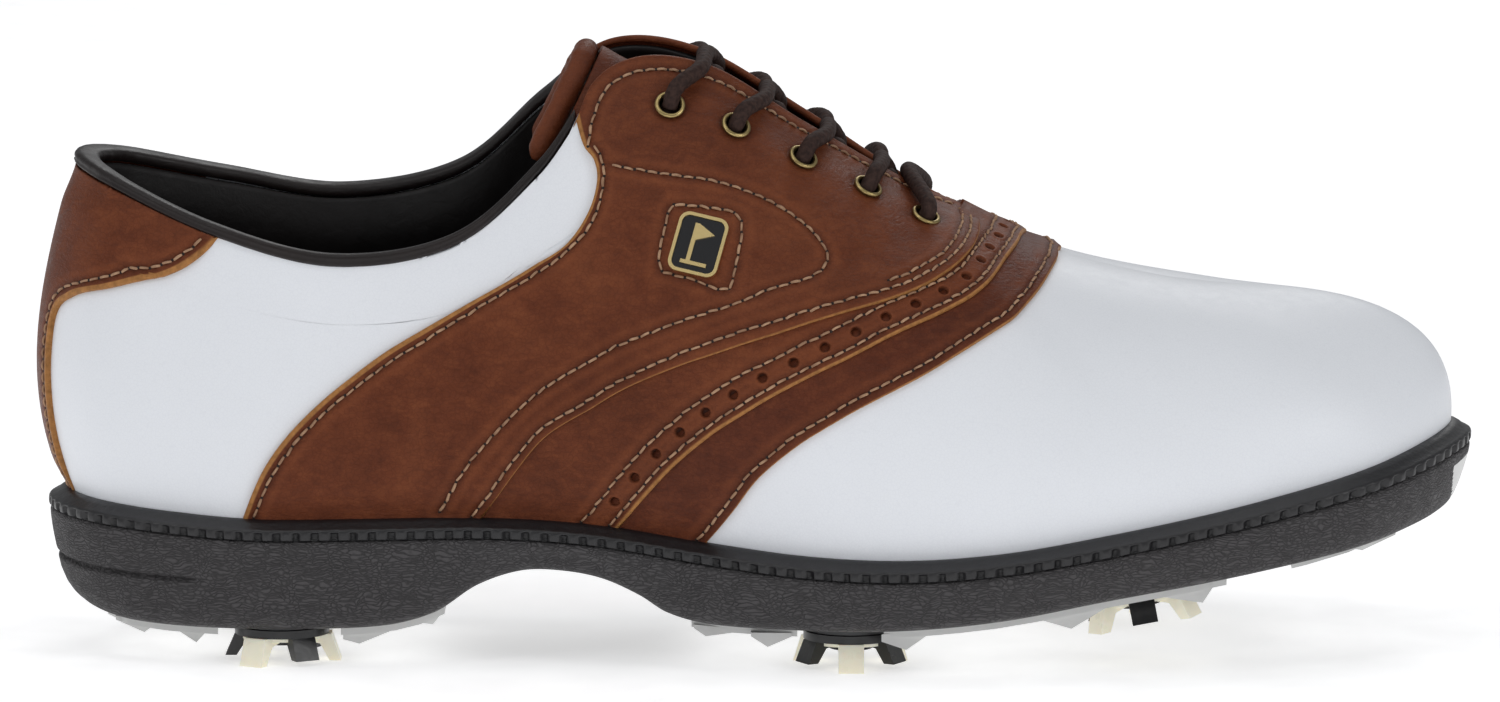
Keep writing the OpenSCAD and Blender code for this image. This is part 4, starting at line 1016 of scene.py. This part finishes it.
def make_saddles():
    for side, label in ((0, "lateral"), (1, "medial")):
        a, b = rows_of(SADDLE_REAR), rows_of(SADDLE_FRONT)
        rear = inset(b, a, EDGE_ROW)
        front, second = (inset(a, b, back) for back in FACING_ROWS)
        facing_u = np.linspace(5.72, 9.32, 60)
        facing = np.stack([facing_u, 0.971 - 0.10 * np.exp(-(facing_u - 5.72) / 0.12)], -1)
        lines = [rear[rear[:, 1] < 0.862], front[front[:, 1] < 0.97],
                 second[(second[:, 1] < 0.95) & (second[:, 1] > 0.6)], facing, seam(SCROLL, np.linspace(0, 1, 240))]
        if side == 0:
            lines.append(seam(BADGE_STITCH, np.linspace(0, 1, 120)))
        else:
            a, b, lines = over(a), over(b), [over(q) for q in lines]
        saddle = Panel(label + "_saddle_leather", label + "_saddle", "brown_leather", BROWN, a, b, 170, "cut", "cut",
                       saddle_lift, base=saddle_floor, roll=True, tan=(TAN_STRIP, 0.0))
        for q in lines:
            saddle.groove(q)
        rings = np.array([last_pt(side_u(u, side), h) for u, h in EYELETS])
        d = saddle.near(rings, 7)
        # A dent round each eyelet, darkened with painted shade
        saddle.sunk += 0.25 * np.exp(-((d - 3.2) / 1.0) ** 2)
        saddle.dark = np.maximum(saddle.dark, 0.45 * np.exp(-((d - 3.2) / 0.7) ** 2))
        saddle.build([(p, n, 2.55) for p, n in eyelet_spots(side)])
        stitches(label + "_saddle_stitching", lines, [saddle.tree] * len(lines))
        make_eyelets(side, label)
        if side == 0:
            make_bartack(saddle.tree)


def make_bartack(tree):
    """Dense bar of thread that locks the closed end of the throat."""
    p, n = drop_onto(tree, 9.40, 0.955)
    up = unit(UP - (UP @ n) * n)
    side = np.cross(up, n)
    parts = []
    for k in range(7):
        mid = p + (k - 3) * 0.42 * side + 0.1 * random.standard_normal() * up
        path = mid + np.linspace(-1.5, 1.5, 6)[:, None] * (up + 0.12 * side) + np.array(
            [-0.3, 0.18, 0.28, 0.28, 0.18, -0.3])[:, None] * n
        parts.append(tube_mesh(path, 0.27, 6))
    verts, faces = join(parts)
    piece("throat_bartack", verts, faces, [STITCH])


def lathe(profile, centre, axis, sides=48):
    """Vertices and faces of a turned ring. The profile runs round its own section as r, z."""
    a = unit(np.cross(axis, [0.3, 0.2, 1.0]))
    b = np.cross(axis, a)
    w = np.linspace(0, 2 * np.pi, sides, endpoint=False)[:, None, None]
    r, z = profile[:, 0][None, :, None], profile[:, 1][None, :, None]
    rings = centre + r * (np.cos(w) * a + np.sin(w) * b) + z * axis
    return rings.reshape(-1, 3), quads(sides, len(profile), wrap_rows=True, wrap_cols=True)


def make_eyelets(side, label):
    turn = np.radians(np.linspace(-60, 200, 14))
    roll = np.stack([2.72 + 0.52 * np.cos(turn), 0.28 + 0.5 * np.sin(turn)], -1)
    section = np.concatenate([[[3.05, -0.25]], roll, [[2.2, -3.6], [2.45, -3.6], [2.5, -0.4]]])
    parts = []
    for centre, axis in eyelet_spots(side):
        verts, faces = lathe(section, centre, axis)
        parts.append((verts, faces))
    verts, faces = join(parts)
    made = piece("eyelet_rings_" + label, verts, faces, [BRASS])
    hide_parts("eyelets_" + label)


# ---- Linings and collar ----------------------------------------------------------------
LEATHER_T = 1.2
LAYER_GAP = 0.3
STIFFENER = 0.8 + 0.6
COLLAR_PAD = 2.4


def lining_depth(u, h):
    a = from_heel(u)
    heel, toe = 1 - smooth((a - 4.0) / 1.2), smooth((a - 9.6) / 0.9)
    pad = (1 - smooth((a - 3.6) / 1.4)) * np.sin(np.pi * np.clip((h - 0.68) / 0.30, 0, 1))
    return LEATHER_T + LAYER_GAP + np.maximum(heel, toe) * STIFFENER + COLLAR_PAD * pad


def make_lining():
    u = np.linspace(-9.2, 9.2, 380)[None] * np.ones((64, 1))
    top = np.minimum(rim(u), 0.99)
    h = 0.03 + (top - 0.03) * np.linspace(0, 1, 64)[:, None]
    depth = lining_depth(u, h)
    ripple = 0.10 * np.sin(5.1 * u + 9 * h) * np.sin(2.3 * u - 14 * h) * smooth((h - 0.5) / 0.2)
    outer, inner = skin(u, h, -depth), skin(u, h, -depth - 0.9 + ripple)
    verts, faces = closed_shell(outer, inner)
    holes = [(p, n, 2.3) for side in (0, 1) for p, n in eyelet_spots(side)]
    made = piece("quarter_lining_leather", verts, punched(verts, faces, holes, 6.5), [LINING], weld=0.004)
    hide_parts("quarter_lining")


def make_binding():
    """Folded strip over the collar's edge: a full roll on top and a flat lip below it outside."""
    turn = np.linspace(0, 2 * np.pi, 28, endpoint=False)
    c, s = np.cos(turn), np.sin(turn)
    out = 2.25 * np.sign(c) * np.abs(c) ** 0.62
    rise = 1.5 * np.sign(s) * np.abs(s) ** 0.75
    out = out - 0.32 * np.exp(-((rise + 0.35) / 0.28) ** 2) * (c > 0)
    u = np.linspace(-BINDING_END, BINDING_END, 460)
    n = normal(u, np.full_like(u, 0.96))
    up = unit(last_pt(u, 1.0) - last_pt(u, 0.94))
    heel = 1 - smooth((from_heel(u) - 4.0) / 1.2)
    centre = last_pt(u, 1.0) - 1.1 * up - (1.15 + 0.5 * heel)[:, None] * n
    waver = (1 + 0.02 * np.sin(u * 9) + 0.012 * np.sin(u * 31)) * (1 + 0.22 * heel)
    rings = centre[:, None] + (out[None] * waver[:, None])[..., None] * n[:, None] + rise[None, :, None] * up[:, None]
    count = len(turn)
    caps = [list(range(count))[::-1], list(range((len(u) - 1) * count, len(u) * count))]
    made = piece("collar_binding_strip", rings.reshape(-1, 3), quads(len(u), count, wrap_cols=True).tolist() + caps,
                 [COLLAR])
    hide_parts("collar_binding")


# ---- Tongue -----------------------------------------------------------------------------
# Crown x, z, half width and depth from the base to the top
TONGUE = np.array([[46, 87.6, 9, 1.5], [33, 91.2, 14, 4.5], [10, 104.0, 19.5, 10], [-12, 117.0, 20.5, 16],
                   [-33, 127.6, 17.5, 24]])
ARC_END = math.radians(78)
TONGUE_SKIN = 1.2
TONGUE_FOAM = 2.6
TONGUE_BACK = 0.9
TONGUE_GAP = 0.2
TONGUE_ROLL_R = 2.5


def tongue_dir(v):
    a, b = seam(TONGUE, np.minimum(v + 0.02, 1)), seam(TONGUE, np.maximum(v - 0.02, 0))
    d = unit((a - b)[..., :2])
    return np.stack([d[..., 0], 0 * d[..., 0], d[..., 1]], -1)


def tongue_pt(v, a, d):
    """Point on the tongue: v from its base to its top, a round it, d out of it."""
    v, a, d = np.broadcast_arrays(v, a, d)
    r, t = seam(TONGUE, v), tongue_dir(v)
    down = np.stack([-t[..., 2], 0 * v, t[..., 0]], -1)
    drop = r[..., 3] * (1 - np.cos(a)) / (1 - math.cos(ARC_END))
    flat = np.stack([r[..., 0], RIDGE_Y + (r[..., 2] + d) * np.sin(a) / math.sin(ARC_END), r[..., 1]], -1)
    return flat + (drop - d)[..., None] * down


def tongue_sheet(name, node, material, top, bottom, spread, puff=0.0):
    v = np.linspace(0, 1, 110)[None]
    a = spread * np.linspace(-1, 1, 90)[:, None]
    edge = smooth((1 - np.abs(a) / spread) / 0.06)
    folds = puff * (0.5 * np.sin(46 * v + 2.2 * np.abs(a)) * smooth((v - 0.55) / 0.3)
                    + 0.35 * np.sin(9 * a + 3) * smooth((v - 0.4) / 0.4))
    outer = tongue_pt(v, a, top - 0.5 * (1 - edge) + folds * edge)
    inner = tongue_pt(v, a, bottom + 0.3 * (1 - edge))
    verts, faces = closed_shell(outer, inner)
    # Fold crests lighter: lighter where the leather bends, and painted highlight
    pull_and_highlight = np.concatenate([(0.35 * smooth(folds / max(puff, 0.01))).ravel(), np.zeros(v.size * a.size)])
    made = piece(name, verts, faces, [material], TONGUE_BODY, fields={"pull_and_highlight": pull_and_highlight})
    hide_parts(node)
    return made


def make_tongue():
    leather = tongue_sheet("tongue_leather_cover", "tongue_leather", DEEP_BROWN, 0, -TONGUE_SKIN,
                           ARC_END, puff=0.3)
    under = -TONGUE_SKIN - 2 * TONGUE_GAP - TONGUE_FOAM
    tongue_sheet("tongue_lining_cover", "tongue_lining", LINING, under, under - TONGUE_BACK,
                 ARC_END - math.radians(2))
    middle = (TONGUE_SKIN + TONGUE_FOAM + TONGUE_BACK) / 2
    a = np.linspace(-ARC_END, ARC_END, 150)
    path = tongue_pt(np.ones_like(a), a, -middle + 0 * a) + (TONGUE_ROLL_R + 0.1) * tongue_dir(np.array(1.0))
    radius = TONGUE_ROLL_R * (1 + 0.03 * np.sin(a * 15) + 0.02 * np.sin(a * 37 + 1))
    verts, faces = tube_mesh(path, radius, 28, taper=5)
    # Lighter on the upper side of the roll: painted highlight
    pull_and_highlight = np.tile(0.35 + 0.3 * np.cos(np.linspace(0, 2 * np.pi, 28, endpoint=False)), len(path))
    made = piece("tongue_rolled_edge", verts, faces, [DEEP_BROWN], TONGUE_BODY, fields={"pull_and_highlight": pull_and_highlight})
    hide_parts("tongue_binding")


# ---- Laced run ----------------------------------------------------------------------------
LACE_UNDER = -4.3
LACE_OVER = 2.0


def throat_mid(u):
    return (last_pt(u, 1) + last_pt(LAP - u, 1)) / 2


def crossing(i, side):
    """Strand from an eyelet on one side over the throat to the next eyelet on the other."""
    (ua, ha), (ub, hb) = EYELETS[i], EYELETS[i + 1]
    far, lift = 1 - side, (1.3 if side == 0 else -2.3)
    uo, um, ui = (ua + share * (ub - ua) for share in (0.46, 0.58, 0.76))
    edge_in = last_pt(side_u(ui, far), 1)
    into = unit(throat_mid(ui) - edge_in)
    return [skin(side_u(ua, side), ha, 0.2), skin(side_u(ua + 0.06, side), ha + 0.03, 3.3),
            skin(side_u(uo, side), 0.975, LACE_OVER), throat_mid(um) + lift * UP,
            edge_in + 2.6 * into - 1.4 * UP, skin(side_u(ui + 0.02, far), 0.95, LACE_UNDER),
            skin(side_u(ub, far), hb + 0.01, LACE_UNDER + 0.2)]


def make_lace():
    u, h = EYELETS[4]
    bar = [skin(u, h, 0.2), skin(u + 0.02, h + 0.02, 3.3), throat_mid(u + 0.05) + 2.0 * UP,
           skin(LAP - u - 0.02, h + 0.02, 3.3), skin(LAP - u, h, 0.2)]
    route = (crossing(0, 0) + crossing(1, 1) + crossing(2, 0) + crossing(3, 1) + bar
             + crossing(3, 0)[::-1] + crossing(2, 1)[::-1] + crossing(1, 0)[::-1] + crossing(0, 1)[::-1])
    path = smooth_path(route, 0.3)
    verts, faces = tube_mesh(path, LACE_R, 32, braid=0.035, pitch=2.4)
    made = piece("laced_run", verts, faces, [LACE_BRAID])
    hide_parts("lace")


# ---- Sole -----------------------------------------------------------------------------------
WELT_W = 4.3
WELT_EDGE_H = 2.0
WELT_DROP = 2.3
WELT_FOOT = WELT_DROP + WELT_EDGE_H
RING = 1440
RIB_PITCH = 4.0
RIB_DEPTH = 1.25
RIM_IN = 5.0


RING_U = LAP * np.arange(RING) / RING


def ring(out, height):
    """Closed ring round the shoe at a distance, or one for each point, outside the feather edge."""
    r = row(RING_U)
    p = r[:, :2] - np.reshape(out, (-1, 1)) * inward(RING_U)[:, :2]
    return np.concatenate([p, height(r[:, 0], p[:, 0])[:, None]], 1)


def above_feather(up):
    return lambda x, px: feather_z(x) + up


def above_tread(up):
    return lambda x, px: tread_z(px) + up


def walk(out):
    """Distance walked round a ring, in millimetres."""
    return travelled(ring(out, above_feather(0))[:, :2])


def hoop(name, rings, materials, face_material=None):
    n, m = RING, len(rings)
    verts = np.concatenate(rings)
    faces = quads(m, n, wrap_rows=True, wrap_cols=True)
    return piece(name, verts, faces, materials, face_material=face_material)


def make_welt():
    s = walk(WELT_W)
    total = s[-1] + (s[-1] - s[-2])
    count = round(total / RIB_PITCH)
    wave = np.cos(2 * np.pi * count * s / total)
    rib = smooth((wave + 0.45) / 0.4)
    # Each ring of the section: how far out, how high over the feather edge, and how much it is ribbed
    steps = [(-RIM_IN, -3.0, 0), (-RIM_IN, -WELT_FOOT, 0), (WELT_W - 1.6, -WELT_FOOT, 0),
             (WELT_W - 0.55, -WELT_FOOT - 0.05, 0), (WELT_W - 0.15, -WELT_FOOT + 0.15, 1),
             (WELT_W, -WELT_FOOT + 0.5, 1), (WELT_W + 0.05, -WELT_FOOT + 1.3, 1),
             (WELT_W, -WELT_DROP - 0.45, 0.75), (WELT_W - 0.05, -WELT_DROP - 0.15, 0.1),
             (WELT_W - 0.25, -WELT_DROP + 0.15, 0), (WELT_W - 0.7, -WELT_DROP + 0.42, 0), (WELT_W - 1.6, -1.45, 0),
             (2.0, -0.9, 0), (1.2, -0.45, 0), (0.4, -0.25, 0), (-0.6, -0.2, 0), (-1.3, -0.4, 0), (-1.3, -3.0, 0)]
    rings = [ring(out - RIB_DEPTH * ribbed * (1 - rib), above_feather(up)) for out, up, ribbed in steps]
    made = hoop("welt_rubber_strip", rings, [WELT])
    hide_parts("welt")


SIDE_STEPS = 44
SIDE_FOOT = 3.6        # where the side turns under, over the tread
HEEL_LINE_Z = 20.4     # moulded line round the heel
HEEL_LINE_DEPTH = 1.3
HEEL_LINE_END = -122
TOE_PATCH_X = 147.2    # the sole's side is grey in front of this


def make_outsole():
    top_out, top_up = WELT_W - 1.0, -WELT_FOOT - 0.02
    upper = feather_z(row(RING_U)[:, 0]) + top_up - 1.0
    rings = [ring(-RIM_IN, above_feather(-WELT_FOOT - 1.5)), ring(-RIM_IN, above_feather(top_up)),
             ring(top_out - 1.5, above_feather(top_up)), ring(top_out, above_feather(top_up - 0.1)),
             ring(WELT_W - 0.45, above_feather(top_up - 0.45))]
    for k in range(SIDE_STEPS):
        t = k / (SIDE_STEPS - 1)
        out = WELT_W - 0.3 - 2.0 * t ** 1.6
        p = ring(out, above_feather(0))[:, :2]
        low = tread_z(p[:, 0]) + SIDE_FOOT
        z = upper + (low - upper) * t
        fall = HEEL_LINE_Z - 1.4 * smooth((p[:, 0] + 152) / 36)
        groove = HEEL_LINE_DEPTH * np.exp(-((z - fall) / 0.5) ** 2) * (1 - smooth((p[:, 0] - HEEL_LINE_END) / 8))
        p = p + groove[:, None] * inward(RING_U)[:, :2]
        rings.append(np.concatenate([p, z[:, None]], 1))
    for out, up in ((1.5, 2.7), (1.0, 1.8), (0.2, 1.0), (-0.9, 0.45), (-2.4, 0.12), (-4.0, 0.0)):
        rings.append(ring(out, above_tread(up)))
    verts = np.concatenate(rings)
    m = len(rings)
    faces = quads(m, RING, wrap_cols=True).tolist()
    material = np.zeros(len(faces), int)
    middle = verts[np.array(faces)].mean(1)
    level = np.repeat(np.arange(m - 1), RING)
    material[(middle[:, 0] > TOE_PATCH_X) & (level > 14)] = 2
    material[level > m - 4] = 1
    last = (m - 1) * RING
    extra, start, lanes = [], len(verts), 14
    flat_faces = []
    a = verts[last:last + RING]
    half = RING // 2
    left, right = a[:half + 1], a[(-np.arange(half + 1)) % RING]
    share = np.linspace(0, 1, lanes)[None, :, None]
    sheet = left[:, None] * (1 - share) + right[:, None] * share
    sheet[..., 2] = tread_z(sheet[..., 0])
    extra.append(sheet.reshape(-1, 3))
    flat_faces += quads(half + 1, lanes, start).tolist()
    top = verts[:RING]
    roof = top[:half + 1, None] * (1 - share) + top[(-np.arange(half + 1)) % RING][:, None] * share
    extra.append(roof.reshape(-1, 3))
    flat_faces += quads(half + 1, lanes, start + sheet.shape[0] * lanes).tolist()
    verts = np.concatenate([verts, *extra])
    faces = faces + flat_faces
    material = np.concatenate([material, np.ones(len(flat_faces), int)])
    made = piece("outsole_rubber_unit", verts, faces, [SIDEWALL, TREAD_RUBBER, GREY], face_material=material, weld=0.01)
    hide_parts("outsole")


# ---- CAD nodes that keep their own shape -------------------------------------------------------
def finish_node(name, material, round_edges=0.0):
    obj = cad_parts[name]
    obj.data.materials.clear()
    obj.data.materials.append(material)
    if round_edges:
        bevel = obj.modifiers.new("edges", "BEVEL")
        bevel.width = round_edges * MM
        bevel.segments = 3
        bevel.limit_method = "ANGLE"
        bevel.angle_limit = math.radians(35)
        obj.modifiers.new("shade", "WEIGHTED_NORMAL")


def finish_nodes():
    plain = {"heel_traction_plate": (GREY, 0.25), "forefoot_traction_plate": (GREY, 0.25),
             "toe_traction_plate": (GREY, 0.25), "midsole_foam": (FOAM, 0), "shank": (STEEL, 0),
             "insole_board": (BOARD, 0), "sockliner": (SOCK, 0), "cleat_receptacles": (NYLON, 0.15),
             "collar_foam": (FOAM, 0), "heel_counter": (BOARD, 0), "toe_puff": (BOARD, 0),
             "vamp_lining": (LINING, 0), "tongue_foam": (FOAM, 0), "badge_frame": (GOLD, 0.18),
             "badge_enamel": (ENAMEL, 0.12), "badge_emblem": (GOLD, 0.08)}
    for name, (material, round_edges) in plain.items():
        finish_node(name, material, round_edges)
    for i in range(1, 7):
        finish_node("cleat_%d_core" % i, BLACK, 0.3)
        finish_node("cleat_%d_soft_legs" % i, CREAM, 0.35)


make_vamp()
make_quarters()
make_heel_overlay()
make_wing_and_band()
make_saddles()
make_lining()
make_binding()
make_tongue()
make_lace()
make_welt()
make_outsole()
finish_nodes()

bpy.context.view_layer.update()
